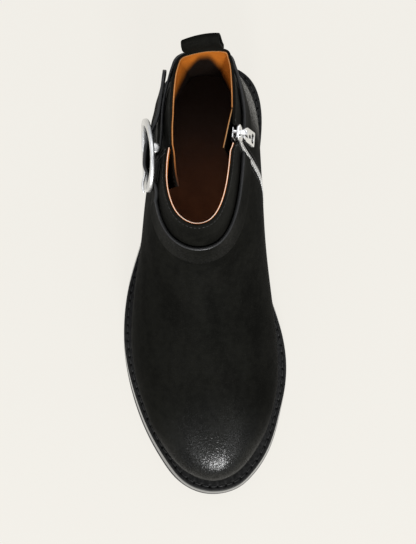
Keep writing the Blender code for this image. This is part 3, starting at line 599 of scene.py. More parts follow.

# %% [markdown]
# Inside, the boot is lined with smooth tan calf, and the cut edge of that lining shows as a pale line
# round the collar, because the dye doesn't go through. The sock under the foot is a darker brown.
# All three are leather, so one recipe with other colours serves: soft clouds, small pores, fine creases.
# The linings darken towards the depths of the boot, to a near-black brown: painted shade, where the inside
# falls dark. The sock is darker towards the heel. A ramp in one direction through the boot, from the dark
# colour to the plain leather, does both. The painted shade climbs higher in the middle of the back than at
# the sides in the heel's lining, and in the middle of the front in the vamp's, so the distance from the
# middle counts too. The vamp's lining is a lighter copy of the same tan, painted light for the shade beside
# the lap. The cut edges of the heel's lining and of the zip guard darken towards their front ends: painted
# shade, where they run in behind the vamp.

# %% Lining, cut edge and sock
BOOT_MIDDLE, SHADE_ARCH_FLAT, SHADE_ARCH_HALF_WIDTH = 0.0018, 0.0018, 0.0116
PAINTED_SHADE_BROWN = (0.004, 0.002, 0.001)
EDGE_PORES, EDGE_PORE_DEPTH = 2200.0, 0.05


def smooth_calf(name, dark, light, roughness, darkening, sides=0.0, pore_scale=1300.0, pore_depth=0.03):
    """Calf leather. A darkening is a direction, where on it the dark is full, where it ends, and its colour.

    Sides is how much lower the darkening ends at the boot's sides than in its middle.
    """
    finish = Finish(name, Specular_IOR_Level=0.15)
    clouds = finish.noise(55.0, 4.0, 0.6)
    pores = finish.cells(pore_scale)
    creases = finish.noise(420.0, 4.0, 0.65)
    colour = finish.blend(finish.spread(clouds, 0.32, 0.68), dark, light)
    # On the linings and the heel lining's cut edge this darkening is painted shade; on the sock, a darker
    # heel.
    if darkening:
        direction, full, dark_ends_at, dark_colour = darkening
        aside = finish.maths("ABSOLUTE", finish.maths("ADD", finish.along((1.0, 0.0, 0.0)), BOOT_MIDDLE))
        climb = finish.spread(aside, SHADE_ARCH_FLAT, SHADE_ARCH_HALF_WIDTH, 0.0, sides)
        place = finish.maths("ADD", finish.along(direction), climb)
        colour = finish.blend(finish.spread(place, full, dark_ends_at), dark_colour, colour)
    rough = finish.spread(creases, 0.3, 0.7, roughness - 0.08, roughness + 0.08)
    relief = finish.bump(pores, pore_depth, finish.bump(creases, pore_depth * 2))
    return finish.done(colour, rough, relief)


# Both linings darken with depth to a near-black brown: painted shade.
tan_lining = smooth_calf("tan_calf_lining", (0.31, 0.089, 0.0084), (0.39, 0.115, 0.0114), 0.55,
                         ((0.0, 0.30, 1.0), 0.1225, 0.1402, PAINTED_SHADE_BROWN), 0.0200)
# The vamp's lining is the same tan made lighter: painted light, against the shade in the gap by the quarter's
# flap.
front_lining_painted_light = smooth_calf("tan_front_lining_with_painted_light", (0.46, 0.125, 0.012), (0.56, 0.155, 0.015), 0.55,
                           ((0.0, -0.1, 1.0), 0.1170, 0.1400, PAINTED_SHADE_BROWN), 0.0110)
cut_edge = smooth_calf("undyed_cut_edge", (0.56, 0.50, 0.42), (0.72, 0.66, 0.57), 0.7, None, 0.0,
                       EDGE_PORES, EDGE_PORE_DEPTH)
# This cut edge darkens towards its front end: painted shade, where it runs in behind the vamp.
flap_edge = smooth_calf("cut_edge_with_painted_shade", (0.28, 0.152, 0.060), (0.36, 0.202, 0.088), 0.7,
                        ((0.0, 1.0, 0.0), -0.052, -0.020, (0.030, 0.010, 0.005)), 0.0,
                        EDGE_PORES, EDGE_PORE_DEPTH)
sock_leather = smooth_calf("brown_sock_leather", (0.145, 0.047, 0.018), (0.205, 0.067, 0.026), 0.62,
                           ((0.0, -1.0, 0.0), 0.0, 0.075, (0.040, 0.018, 0.009)))

# %% [markdown]
# The bottom of a boot has its own blacks. The welt is waxed strip leather, the thread is twisted linen
# drawn through wax, and the edge of the sole is inked, burnished with a hot iron and polished.
# Each could be drawn on its own, but they differ in grain more than in kind, so one recipe serves for all
# but the welt. A polished edge is told from the others by its clear coat, which mirrors the pale floor.

# %% Welt, thread, sole edge and heel
def welt_black():
    finish = Finish("waxed_welt", Specular_IOR_Level=0.12)
    fibre = finish.noise(700.0, 4.0, 0.7)
    colour = finish.blend(finish.spread(fibre, 0.3, 0.75), (0.004, 0.004, 0.004), (0.018, 0.018, 0.017))
    rough = finish.spread(fibre, 0.3, 0.7, 0.46, 0.66)
    return finish.done(colour, rough, finish.bump(fibre, 0.10))


def speckled(name, grain, shades, rough, depth, stretch=None, **sockets):
    """A black with one noise for its shades, its roughness and its relief."""
    finish = Finish(name, **sockets)
    speck = finish.noise(*grain, finish.stretched(stretch) if stretch else None)
    colour = finish.blend(speck, *shades)
    return finish.done(colour, finish.spread(speck, 0.3, 0.7, *rough), finish.bump(speck, depth))


def linen_thread(name, *shades):
    return speckled(name, (1500.0, 2.0, 0.55), shades, (0.42, 0.58), 0.06, Specular_IOR_Level=0.3)


def inked_edge(name, **polish):
    shades = (0.008, 0.008, 0.008), (0.016, 0.016, 0.016)
    return speckled(name, (60.0, 3.0, 0.6), shades, (0.22, 0.36), 0.04, (1.0, 1.0, 14.0), **polish)


def heel_rubber():
    shades = (0.010, 0.010, 0.010), (0.022, 0.022, 0.022)
    return speckled("heel_rubber", (1100.0, 3.0, 0.6), shades, (0.6, 0.75), 0.08, Specular_IOR_Level=0.4)


welt_finish, rubber_finish = welt_black(), heel_rubber()
sole_finish = inked_edge("polished_sole_edge", Coat_Weight=1.0, Coat_Roughness=0.05, Coat_IOR=2.0, IOR=1.8)
heel_finish = inked_edge("inked_heel", Coat_Weight=0.6, Coat_Roughness=0.15, Specular_IOR_Level=0.3)
strap_edge = inked_edge("inked_strap_edge", Coat_Weight=0.35, Coat_Roughness=0.4, Specular_IOR_Level=0.2)
welt_thread = linen_thread("waxed_welt_thread", (0.006, 0.006, 0.006), (0.016, 0.016, 0.015))
upper_thread = linen_thread("black_seam_thread", (0.006, 0.006, 0.006), (0.014, 0.014, 0.014))

# %% [markdown]
# The buckle and the zip are nickel over a duller metal. Brushing leaves fine scratches along the band, and
# the scratches spread the highlights, so a metal's look is mostly its roughness.
# A relief drawn by hand would be too coarse, so a noise stretched one way does for the brushing.
# Where the pull tab is punched, the walls of its holes are given a dark metal: painted shade in the holes.
# The zip's tape is woven: waves in two directions, multiplied, give its threads.

# %% Nickel, bare metal and zip tape
def brushed(name, dark, light, roughness, stretch):
    """Metal with scratches along the axis whose stretch is smallest."""
    finish = Finish(name, Metallic=1.0)
    scratch = finish.noise(700.0, 3.0, 0.6, finish.stretched(stretch))
    dull = finish.noise(120.0, 3.0)
    colour = finish.blend(finish.spread(dull, 0.3, 0.7), dark, light)
    rough = finish.spread(scratch, 0.25, 0.75, roughness - 0.07, roughness + 0.09)
    return finish.done(colour, rough, finish.bump(scratch, 0.012))


def woven_tape():
    finish = Finish("black_woven_tape", Specular_IOR_Level=0.3, Sheen_Weight=0.1)
    warp = finish.wave(520.0, 0.6, "Z")
    weft = finish.wave(520.0, 0.6, "Y")
    weave = finish.maths("MULTIPLY", warp, weft)
    colour = finish.blend(weave, (0.006, 0.006, 0.006), (0.026, 0.026, 0.026))
    rough = finish.spread(weave, 0.0, 1.0, 0.9, 0.7)
    return finish.done(colour, rough, finish.bump(weave, 0.1))


buckle_nickel = brushed("brushed_nickel", (0.66, 0.655, 0.64), (0.80, 0.795, 0.78), 0.42, (1.0, 0.12, 1.0))
zip_nickel = brushed("polished_zip_nickel", (0.68, 0.68, 0.67), (0.82, 0.82, 0.81), 0.22, (0.2, 1.0, 1.0))
# A dark metal for the walls of the pull tab's holes: painted shade.
hole_wall_shade_metal = brushed("dark_metal_painted_hole_shade", (0.02, 0.018, 0.016), (0.04, 0.036, 0.032), 0.55, (1.0, 1.0, 1.0))
tape_finish = woven_tape()

# %% [markdown]
# The outsole is a slab cut to the sole's plan, with its edge trimmed to slope out a little at the toe.
# From above that slope shows as a thin bright line, where the polish mirrors the floor, with the matt
# bead of the lower edge as a dark line outside it.
# A bevel modifier would round both edges alike, so the edge is written row by row instead: its share of
# the shelf that the welt leaves, how far in from there, and how deep under the slab's top.
# A stitch channel runs round the underside.

# %% Outsole
WELT_THICKNESS = 3.0
OUTSOLE_THICKNESS = 6.4
SOLE_COLUMNS = 420
OUTER_SHELF, INNER_SHELF = (165.0, 225.0), (205.0, 240.0)
SHELF_TIP, SHELF_MIDDLE = (258.0, 272.0), (-6.0, 10.0)
SOLE_EDGE = (
    (1.0, 1.0, 0.0), (1.0, 0.4, 0.0), (1.0, 0.1, 0.12), (1.0, 0.0, 0.4), (0.78, 0.0, 1.8), (0.56, 0.0, 3.2),
    (0.42, 0.0, 4.1), (0.36, 0.0, 4.3), (0.12, 0.0, 4.9), (0.0, 0.0, 5.3), (0.0, 0.25, 5.9), (0.0, 0.6, 6.25),
    (0.0, 1.1, 6.4), (0.0, 4.6, 6.4), (0.0, 4.8, 5.9), (0.0, 5.6, 5.9), (0.0, 5.8, 6.4),
)
BEAD_DEPTH, BEAD_INSET = 4.0, 1.0
sole_top = 2 * GAP + WELT_THICKNESS
sole_bottom = sole_top + OUTSOLE_THICKNESS


def sole_loop(outline, depth, columns=SOLE_COLUMNS, floor=None):
    """The outline laid along the foot, at a depth below the feather edge and square to the sole there."""
    turn = np.linspace(0, 2 * np.pi, columns, endpoint=False)
    x, station = outline.x(turn), outline.station(turn)
    slope = (feather_height(station + 1.0) - feather_height(station - 1.0)) / 2
    size = np.hypot(1.0, slope)
    z = feather_height(station) - depth / size
    if floor is not None:
        z = np.maximum(z, floor)
    return np.stack([x, station + slope / size * depth, z], axis=-1)


def shelf(station, x):
    """How far the welt's edge stands in from the sole's edge: most on the outer side of the toe."""
    tip = 1 - 0.7 * smoothstep(station, *SHELF_TIP)
    outer = 0.3 + 1.3 * smoothstep(station, *OUTER_SHELF) * tip
    inner = 0.25 + 0.45 * smoothstep(station, *INNER_SHELF) * tip
    return outer + (inner - outer) * smoothstep(x, *SHELF_MIDDLE)


def build_outsole():
    bead = [int(depth > BEAD_DEPTH and extra < BEAD_INSET) for _, extra, depth in SOLE_EDGE[:-1]]
    rows = []
    for lean, extra, depth in SOLE_EDGE:
        outline = sole_outline.inset(lambda station, x: lean * shelf(station, x) + extra)
        rows.append(sole_loop(outline, sole_top + depth, floor=OUTSOLE_THICKNESS - depth))
    return make_piece("outsole_slab", [loft(rows, strips=True, row_marks=bead)], [sole_finish, rubber_finish])


seat(build_outsole(), "sole", "outsole")

# %% [markdown]
# The welt is a strip sewn to the upper and then to the sole, so its stitches show all the way round.
# The awl leaves a dimple at each stitch, and the thread sinks into a shallow groove between them.
# A bump in the finish could draw both, but they would vanish at a low angle.
# So the groove and the dimples are sunk into the welt's own grid.

# %% Welt with its awl holes
STITCH_INSET = 2.5
STITCH_PITCH = 5.2
WELT_COLUMNS = 1500
WELT_INNER_LEDGE = 5.0
WELT_INSETS = (3.7, 3.3, 3.05, 2.85, 2.65, 2.5, 2.35, 2.15, 1.9, 1.6, 1.1, 0.7, 0.4, 0.18, 0.05, 0.0)
WELT_SIDE = ((1.3, 0.0), (2.2, 0.0), (2.7, 0.12), (3.0, 0.4))
WELT_ROUND = 0.55
GROOVE_DEPTH, GROOVE_REACH = 0.28, 0.55
AWL_DEPTH, AWL_LENGTH, AWL_WIDTH = 1.0, 0.7, 0.65


def arc_length(points):
    """Running length along a row of points."""
    steps = np.linalg.norm(np.diff(points, axis=0), axis=-1)
    return np.concatenate([[0.0], np.cumsum(steps)])


def welt_line(inset, depth):
    outline = sole_outline.inset(lambda station, x: shelf(station, x) + inset)
    return sole_loop(outline, depth, WELT_COLUMNS)


stitch_line = welt_line(STITCH_INSET, GAP)
stitch_run = arc_length(np.concatenate([stitch_line, stitch_line[:1]]))
stitch_count = round(stitch_run[-1] / STITCH_PITCH)
stitch_step = stitch_run[-1] / stitch_count
print(stitch_count, "welt stitches,", round(stitch_step, 2), "mm apart")


def build_welt():
    to_hole = np.abs((stitch_run[:-1] + stitch_step / 2) % stitch_step - stitch_step / 2)
    inner = feather_outline.inset(WELT_INNER_LEDGE)
    rows = [sole_loop(inner, GAP + WELT_THICKNESS, WELT_COLUMNS), sole_loop(inner, GAP, WELT_COLUMNS)]
    for inset in WELT_INSETS:
        row = welt_line(inset, GAP)
        off = inset - STITCH_INSET
        groove = GROOVE_DEPTH * math.exp(-((off / GROOVE_REACH) ** 2))
        hole = AWL_DEPTH * np.exp(-((to_hole / AWL_LENGTH) ** 2)) * math.exp(-((off / AWL_WIDTH) ** 2))
        edge = WELT_ROUND - math.sqrt(max(WELT_ROUND**2 - max(WELT_ROUND - inset, 0.0) ** 2, 0.0))
        row[:, 2] -= groove + hole + edge
        rows.append(row)
    for depth, inset in WELT_SIDE:
        rows.append(welt_line(inset, GAP + depth))
    return make_piece("welt_strip", [loft(rows, ring_closed=True)], [welt_finish])


seat(build_welt(), "welt", "welt")

# %% [markdown]
# A stitch is a short length of thread that dives into a hole at each end, so its middle stands highest.
# We could bend a curve for each one, but hundreds of curves are slow.
# Instead one small capsule is shaped once and copied along a line, turned to follow it.

# %% Threads along a line
WELT_THREAD = (4.5, 0.42)
STITCH_RINGS, STITCH_SIDES, STITCH_TAPER = 7, 8, 0.94


def threads(path, normals, pitch, length, radius, sink=0.0, closed=False, arch=0.12):
    """Blanks for a row of stitches along a path, lying on the side that the normals give."""
    if closed:
        path, normals = np.concatenate([path, path[:1]]), np.concatenate([normals, normals[:1]])
    run = arc_length(path)
    count = max(1, round(run[-1] / pitch))
    step = run[-1] / count
    centre = (np.arange(count) + 0.5) * step

    def at(place, values):
        return np.stack([np.interp(place, run, values[:, k]) for k in range(3)], axis=-1)

    half = length / pitch * step / 2
    along = unit(at(centre + half, path) - at(centre - half, path))
    up = at(centre, normals)
    up = unit(up - along * np.sum(up * along, axis=-1, keepdims=True))
    side = np.cross(along, up)
    middle = at(centre, path) - up * sink
    sweep = np.linspace(-1, 1, STITCH_RINGS)
    thick = radius * np.sqrt(1 - STITCH_TAPER * sweep**4)
    angle = np.linspace(0, 2 * np.pi, STITCH_SIDES, endpoint=False)
    spine = middle[:, None] + along[:, None] * (sweep * half)[:, None]
    spine = spine - up[:, None] * (sweep**2 * arch)[:, None]
    round_it = side[:, None] * np.cos(angle)[:, None] + up[:, None] * np.sin(angle)[:, None]
    points = spine[:, :, None] + thick[:, None, None] * round_it[:, None]
    one, size = loft(points[0])[1], len(sweep) * len(angle)
    faces = [[corner + k * size for corner in face] for k in range(count) for face in one]
    return points.reshape(-1, 3), faces, [0] * len(faces)


def build_welt_stitches():
    ups = np.tile([0.0, 0.0, 1.0], (len(stitch_line), 1))
    length, radius = WELT_THREAD
    row = threads(stitch_line, ups, stitch_step, length, radius, sink=0.12, closed=True, arch=0.3)
    return make_piece("welt_stitching", [row], [welt_thread])


seat(build_welt_stitches(), "welt")

# %% [markdown]
# The heel is a stack of leather lifts, glued, nailed and trimmed as one, with a rubber top piece that
# meets the ground. Each joint between lifts shows as a fine line.
# Separate slabs would need their hidden faces too. One loft makes the whole stack: a ring at each lift's
# edges, and a ring set in a hair at each joint.

# %% Heel
HEEL_LENGTH = 62.0
HEEL_BREAST_TAPER = 3.0
HEEL_TOP_INSET, HEEL_FOOT_INSET = 1.0, 2.2
RUBBER_HEIGHT = 5.4
LIFTS = 4
JOINT_GROOVE, JOINT_ROUND = (0.003, 0.16), (0.012, 0.03)
HEEL_SIDE = np.linspace(0.0, 1.0, 91)


def heel_ring(share, inset=0.0, rise=None):
    """The heel's outline at a share of its height, 0 on the floor and 1 under the sole."""
    taper = HEEL_FOOT_INSET + (HEEL_TOP_INSET - HEEL_FOOT_INSET) * share + inset
    breast = HEEL_LENGTH - HEEL_BREAST_TAPER * (1 - share) - inset
    smaller = sole_outline.inset(taper)
    angle = math.acos(1 - 2 * (breast - smaller.back) / (smaller.front - smaller.back))
    turn = np.concatenate([HEEL_SIDE * angle, 2 * np.pi - (HEEL_SIDE * angle)[:0:-1]])
    x, station = smaller.x(turn), smaller.station(turn)
    height = feather_height(station) - sole_bottom - GAP
    z = np.full_like(x, rise) if rise is not None else height * share
    return np.stack([x, station, z], axis=-1)


def build_heel():
    tall = float(feather_height(0.0) - sole_bottom - GAP)
    split = RUBBER_HEIGHT / tall
    rubber = [heel_ring(0.0, 0.5, 0.0), heel_ring(0.0, 0.15, 0.12), heel_ring(0.02, 0.0)]
    rubber += [heel_ring(split - 0.012), heel_ring(split - 0.004, 0.2)]
    edges = np.linspace(split, 1.0, LIFTS + 1)
    stack = []
    for low, high in zip(edges, edges[1:]):
        stack += [heel_ring(low + share, inset) for share, inset in (JOINT_GROOVE, JOINT_ROUND)]
        stack.append(heel_ring((low + high) / 2))
        stack += [heel_ring(high - share, inset) for share, inset in (JOINT_ROUND, JOINT_GROOVE)]
    top_piece = make_piece("heel_top_piece", [loft(rubber, strips=True)], [rubber_finish])
    lifts = make_piece("heel_lifts", [loft(stack, strips=True)], [heel_finish])
    return top_piece, lifts


for heel_piece in build_heel():
    seat(heel_piece, "sole", "heel")

# %% [markdown]
# Under the foot lies the sock, a thin brown leather over a padded insole.
# Feet press a shallow dish into it. A plane with a sculpted hollow would do; here the grid runs from side
# to side at each station, so the dish is one line of arithmetic.

# %% Insole with its sock
INSOLE_THICKNESS = 3.2
DISH_DEPTH, SOCK_EDGE_DROP = 0.9, 0.7


def build_insole():
    clear = feather_outline.inset(WALL + 2 * GAP)
    turn = np.linspace(0.012, np.pi - 0.012, 150)[:, None]
    across = np.sin(np.linspace(-np.pi / 2, np.pi / 2, 41))[None, :]
    outer, inner = clear.x(turn), clear.x(2 * np.pi - turn)
    x = (outer + inner) / 2 + (inner - outer) / 2 * across
    station = np.broadcast_to(clear.station(turn), x.shape)
    floor = feather_height(station)
    dish = DISH_DEPTH * (1 - across**2) * smoothstep(np.sin(turn), 0.0, 0.5)
    soften = SOCK_EDGE_DROP * smoothstep(np.abs(across), 0.93, 1.0)
    face = np.stack([x, station, floor + INSOLE_THICKNESS - dish - soften], axis=-1)
    back = np.stack([x, station, floor], axis=-1)
    return make_piece("insole_sock", [shell(face, back, 1)], [sock_leather, sock_leather])


seat(build_insole(), "insole", "insole")

# %% [markdown]
# Now the upper. Its leather is cut in two: the vamp, which covers the toes and instep, and the quarter,
# which goes round the heel. They meet at the zip on the inner side and lap on the outer side.
# Cutting the panels out of one surface with Blender's knife would leave ragged edges. Instead each is a
# grid between two edge lines drawn on the last: for every ring from the feather edge to the collar we find
# where the lines cross it, and space the columns evenly between.

# %% Edge lines on the last
vamp_edge = table(((18.0, 85.0), (32.0, 80.0), (60.0, 71.5), (85.0, 65.6), (100.0, 64.0), (135.0, 63.6)))[0]
flap_end = table(((18.0, 95.0), (32.0, 91.0), (60.0, 87.5), (80.0, 86.0), (135.0, 86.0)))[0]
ZIP_BOTTOM, ZIP_TOP = 45.0, 129.5
ZIP_HALF_SLIT, SEAM_HALF_SLIT, SEAM_SLOPE = 2.4, 0.12, 0.52
FRONT_FALL, FRONT_FALL_HEIGHTS = 4.3, (112.0, 130.0)
REAR_FALL, REAR_FALL_HEIGHTS = 1.5, (114.0, 130.0)


def zip_line(z):
    """Station of the zip, and below it of the seam that carries on to the feather edge."""
    return zip_station(z) + np.maximum(ZIP_LINE[0][0] - z, 0.0) * SEAM_SLOPE


def zip_lip(z):
    """Half the slit, measured along the station: it closes to a seam below the zip."""
    slope = zip_station(z + 0.5) - zip_station(z - 0.5)
    open_share = np.sqrt(smoothstep(z, ZIP_BOTTOM - 4.0, ZIP_BOTTOM + 1.0))
    return (SEAM_HALF_SLIT + (ZIP_HALF_SLIT - SEAM_HALF_SLIT) * open_share) * np.hypot(1.0, slope)


def zip_front(z):
    """The vamp's edge at the zip. Above the strap both edges fall away from the slider."""
    return zip_line(z) + zip_lip(z) + FRONT_FALL * smoothstep(z, *FRONT_FALL_HEIGHTS)


def zip_rear(z):
    return zip_line(z) - zip_lip(z) - REAR_FALL * smoothstep(z, *REAR_FALL_HEIGHTS)


def turn_where(share, line, inner_side):
    """The turn at which a ring crosses a line of station against height."""
    turn = np.linspace(0.02, np.pi, 700)
    turn = 2 * np.pi - turn if inner_side else turn
    ring = upper_face(share, turn)
    return np.interp(0.0, ring[:, 1] - line(ring[:, 2]), turn)


print("zip at the collar:", zip_front(ZIP_TOP), zip_rear(ZIP_TOP))

# %% [markdown]
# A panel's grid needs extra rows and columns beside its edges, because a cut edge is rounded over less than
# a millimetre. Subdividing the whole grid would do it too, with many more points than it needs.
# The distances to each edge, in millimetres, then say where to round, lift or crease.

# %% Panels as grids
EDGE_STEPS, EDGE_BAND = np.array([0.0, 0.15, 0.4, 0.8, 1.4]), 2.2
BOTTOM_SHARES = np.array([0.0, 0.003, 0.007, 0.013])
TOP_STEPS = np.array([0.0, 0.001, 0.0026, 0.0052, 0.0095])
INSIDE_BOOT = np.array([-2.0, 120.0, 40.0])
CUT_ROUND, FOOT_ROUND = 0.6, 1.3
ROLL_FROM_TOP, ROLL_REACH = 1.5, 1.1
SEAM_FROM_TOP, SEAM_PINCH = 3.3, 0.6


def ring_shares(rows):
    return np.concatenate([BOTTOM_SHARES, np.linspace(0.021, 0.985, rows), 1 - TOP_STEPS[::-1]])


class Panel:
    """A panel of the upper between two edge lines, with the distance of each point from its four edges.

    First and last are each a line of station against height, and whether it is on the inner side.
    """

    def __init__(self, rows, columns, first, last, top_share=None):
        turns = []
        shares = ring_shares(rows)
        for share in shares:
            start, end = turn_where(share, *first), turn_where(share, *last)
            round_heel = 2 * np.pi if start > end else 0.0
            fine = np.linspace(start - round_heel, end, 900)
            run = arc_length(upper_face(share, fine))
            middle = np.linspace(EDGE_BAND, run[-1] - EDGE_BAND, columns)
            places = np.concatenate([EDGE_STEPS, middle, run[-1] - EDGE_STEPS[::-1]])
            turns.append(np.interp(places, run, fine))
        self.turn = np.array(turns)
        share = shares[:, None] * (top_share(self.turn) if top_share else 1.0)
        self.grid = upper_face(share, self.turn)
        across = np.gradient(self.grid, axis=1)
        normal = unit(np.cross(across, np.gradient(self.grid, axis=0)))
        self.normal = normal * np.sign(np.sum(normal * (self.grid - INSIDE_BOOT)))
        run = np.cumsum(np.linalg.norm(np.diff(self.grid, axis=1), axis=-1), axis=1)
        self.from_first = np.pad(run, ((0, 0), (1, 0)))
        self.from_last = self.from_first[:, -1:] - self.from_first
        rise = np.cumsum(np.linalg.norm(np.diff(self.grid, axis=0), axis=-1), axis=0)
        self.from_bottom = np.pad(rise, ((1, 0), (0, 0)))
        self.from_top = self.from_bottom[-1:] - self.from_bottom
        self.cut = np.minimum(np.minimum(self.from_first, self.from_last), self.from_top)

    def out(self, away):
        return self.grid + self.normal * away[..., None]

    def collar_roll(self, height, groove):
        """A roll round the collar, pulled in again by the stitches below it."""
        roll = height * np.exp(-(((self.from_top - ROLL_FROM_TOP) / ROLL_REACH) ** 2))
        return roll - groove * np.exp(-(((self.from_top - SEAM_FROM_TOP) / SEAM_PINCH) ** 2))

    def edge_drop(self):
        return rounded(self.cut, CUT_ROUND) + rounded(self.from_bottom, FOOT_ROUND)


def rounded(distance, radius):
    """How far a rounded edge drops at a distance from it."""
    inside = np.clip(radius - distance, 0.0, radius)
    return radius - np.sqrt(radius**2 - inside**2)


def trace(values, distance, wanted, axis):
    """Points on a grid at a wanted distance from an edge, one for each row or column."""
    if axis == 0:
        values, distance = np.swapaxes(values, 0, 1), distance.T
    line = []
    for row, run in zip(values, distance):
        order = np.argsort(run)
        line.append([np.interp(wanted, run[order], row[order, k]) for k in range(3)])
    return np.array(line)


print("a panel of 100 even rings has", len(ring_shares(100)), "rings in all")

# %% [markdown]
# The vamp is one piece from the outer side's lap, round the toe, to the zip.
# It is lifted a little at the lap, pinched into a roll above the collar's stitching, puckered at the front,
# where the strap pulls the leather in, and creased below the strap on the outer side, where the ankle bends.
# Those are millimetre shapes, so they are made in the mesh, and only the grain is left to the finish.
# A crease is drawn as a line from one point to another, with a ridge on it and a trough beside it.

# %% Vamp
VAMP_THICKNESS = 1.45
VAMP_LAP, VAMP_CORNER = 0.3, 1.4
STRAP_TOP = 106.5
PUCKER_DEPTH, PUCKER_HALF_TURN = 0.22, 0.45
CREASES = (((-20.5, 121.0), (-15.5, 146.0), 0.35),)
CREASE_BOTTOM = 50.0
CREST_REACH, TROUGH_SHARE, TROUGH_OFFSET, TROUGH_REACH = 1.3, 0.7, 2.8, 1.6


def crease(x, station, start, end, height):
    """A soft ridge along a line in plan, with a trough beside it."""
    way = np.subtract(end, start)
    from_x, from_station = x - start[0], station - start[1]
    along = (from_x * way[0] + from_station * way[1]) / np.dot(way, way)
    off = (from_x * way[1] - from_station * way[0]) / np.linalg.norm(way)
    fade = smoothstep(along, -0.15, 0.25) * (1 - smoothstep(along, 0.75, 1.15))
    trough = TROUGH_SHARE * np.exp(-(((off - TROUGH_OFFSET) / TROUGH_REACH) ** 2))
    return height * fade * (np.exp(-((off / CREST_REACH) ** 2)) - trough)


vamp = Panel(104, 214, (vamp_edge, False), (zip_front, True))


def vamp_spring(panel):
    """How far the vamp springs off the last at its lap, and at its top corner beside the zip."""
    lap = VAMP_LAP * (1 - smoothstep(panel.from_first, 4.0, 15.0))
    lap = lap * smoothstep(panel.grid[..., 2], 16.0, 40.0)
    corner = (1 - smoothstep(panel.from_last, 0.0, 6.0)) * (1 - smoothstep(panel.from_top, 3.0, 14.0))
    return lap + VAMP_CORNER * corner


def vamp_lift(panel):
    x, station, z = np.moveaxis(panel.grid, -1, 0)
    front = np.exp(-(((panel.turn - np.pi) / PUCKER_HALF_TURN) ** 2))
    band = smoothstep(z, STRAP_TOP - 3.0, STRAP_TOP + 2.0)
    band = band * (1 - smoothstep(z, STRAP_TOP + 7.0, STRAP_TOP + 15.0))
    pucker = PUCKER_DEPTH * np.sin(x * 2.1 + 0.6 * np.sin(x * 0.9)) * front * band
    folds = sum(crease(x, station, *line) for line in CREASES) * (z > CREASE_BOTTOM)
    return vamp_spring(panel) + panel.collar_roll(0.22, 0.26) + pucker + folds


vamp_away = vamp_lift(vamp)
vamp_face = vamp.out(vamp_away - vamp.edge_drop())
vamp_back = vamp.out(vamp_away - VAMP_THICKNESS + rounded(vamp.cut, 0.3))
seat(make_piece("vamp", [shell(vamp_face, vamp_back, 0)], [vamp_nubuck, shaft_nubuck]), "upper", "upper")

# %% [markdown]
# The quarter starts behind the zip, goes round the heel and ends as a loose flap inside the vamp, so that
# the boot can open at the buckle. Low down it is skived thin and lies under the vamp's lap. A seam runs
# down the middle of its back.
# Three meshes could be joined, but one panel does it all: its distance from the last's face grows from
# nothing at the heel to the flap's.

# %% Quarter with its flap
QUARTER_THICKNESS, SKIVED_THICKNESS = 1.5, 0.85
FLAP_ROOT, FLAP_REACH = 62.0, 25.0
FLAP_BOTTOM, FLAP_TOP, FLAP_DROP = 74.0, 129.0, 6.0
FLAP_STEP, FLAP_SWING, FLAP_FLARE = 3.0, 0.8, 4.6
LAP_DEPTH = 1.65
BACK_SEAM_X, BACK_SEAM_DEPTH, BACK_SEAM_REACH = -0.6, 0.45, 0.5


def outer_side(turn):
    return (turn % (2 * np.pi)) < np.pi


def flap_share(station, turn):
    return np.where(outer_side(turn), np.clip((station - FLAP_ROOT) / FLAP_REACH, 0, 1), 0.0)


def quarter_top(turn):
    """Share of the collar's height that the quarter reaches: its flap drops towards its end."""
    top, lower = upper_face(1.0, turn), upper_face(0.9, turn)
    drop = FLAP_DROP * flap_share(top[..., 1], turn)
    return 1 - drop * 0.1 / (top[..., 2] - lower[..., 2])


def quarter_sink(panel):
    """How far the quarter lies inside the last's face: none at the heel, more under the vamp."""
    station, z = panel.grid[..., 1], panel.grid[..., 2]
    part = flap_share(station, panel.turn)
    level = np.clip((z - FLAP_BOTTOM) / (FLAP_TOP - FLAP_DROP * part - FLAP_BOTTOM), 0, 1)
    swung = FLAP_STEP * smoothstep(station, 48.0, 70.0) + (FLAP_SWING + FLAP_FLARE * level) * part**0.9
    edge = vamp_edge(z)
    lapped = LAP_DEPTH * smoothstep(station, edge - 3.0, edge + 0.5)
    sink = lapped + (swung - lapped) * smoothstep(z, 66.0, 92.0)
    return np.where(outer_side(panel.turn), sink, 0.0)


def quarter_thickness(panel):
    station = panel.grid[..., 1]
    skive = np.where(outer_side(panel.turn), smoothstep(station, 44.0, 62.0), 0.0)
    return QUARTER_THICKNESS + (SKIVED_THICKNESS - QUARTER_THICKNESS) * skive


quarter = Panel(96, 150, (zip_rear, True), (flap_end, False), quarter_top)
back_seam = BACK_SEAM_DEPTH * np.exp(-(((quarter.grid[..., 0] - BACK_SEAM_X) / BACK_SEAM_REACH) ** 2))
back_seam *= (quarter.grid[..., 1] < 30.0) * (1 - smoothstep(quarter.grid[..., 2], 108.0, 113.0))
quarter_away = quarter.collar_roll(0.2, 0.24) - quarter_sink(quarter) - back_seam
quarter_face = quarter.out(quarter_away - quarter.edge_drop())
quarter_back = quarter.out(quarter_away - quarter_thickness(quarter) + rounded(quarter.cut, 0.25))
seat(
    make_piece("quarter", [shell(quarter_face, quarter_back, 0)], [shaft_nubuck, shaft_nubuck]),
    "upper", "upper", "side_flap",
)

# %% [markdown]
# The lining is sewn in behind both panels, and its cut edge makes the pale line round the collar.
# It is the same panel idea, a leather's thickness further in. The quarter's lining follows the flap, and
# the vamp's lining stops short of the lap low down, where the quarter's edge lies.
# The lining is padded round the heel, so it swells into the boot below the collar and thins out again above
# the sock. Only its back face moves, and its edge stays where it was. The moves are averaged along the
# panel, because padding that bulges into a tight curve would fold over itself.

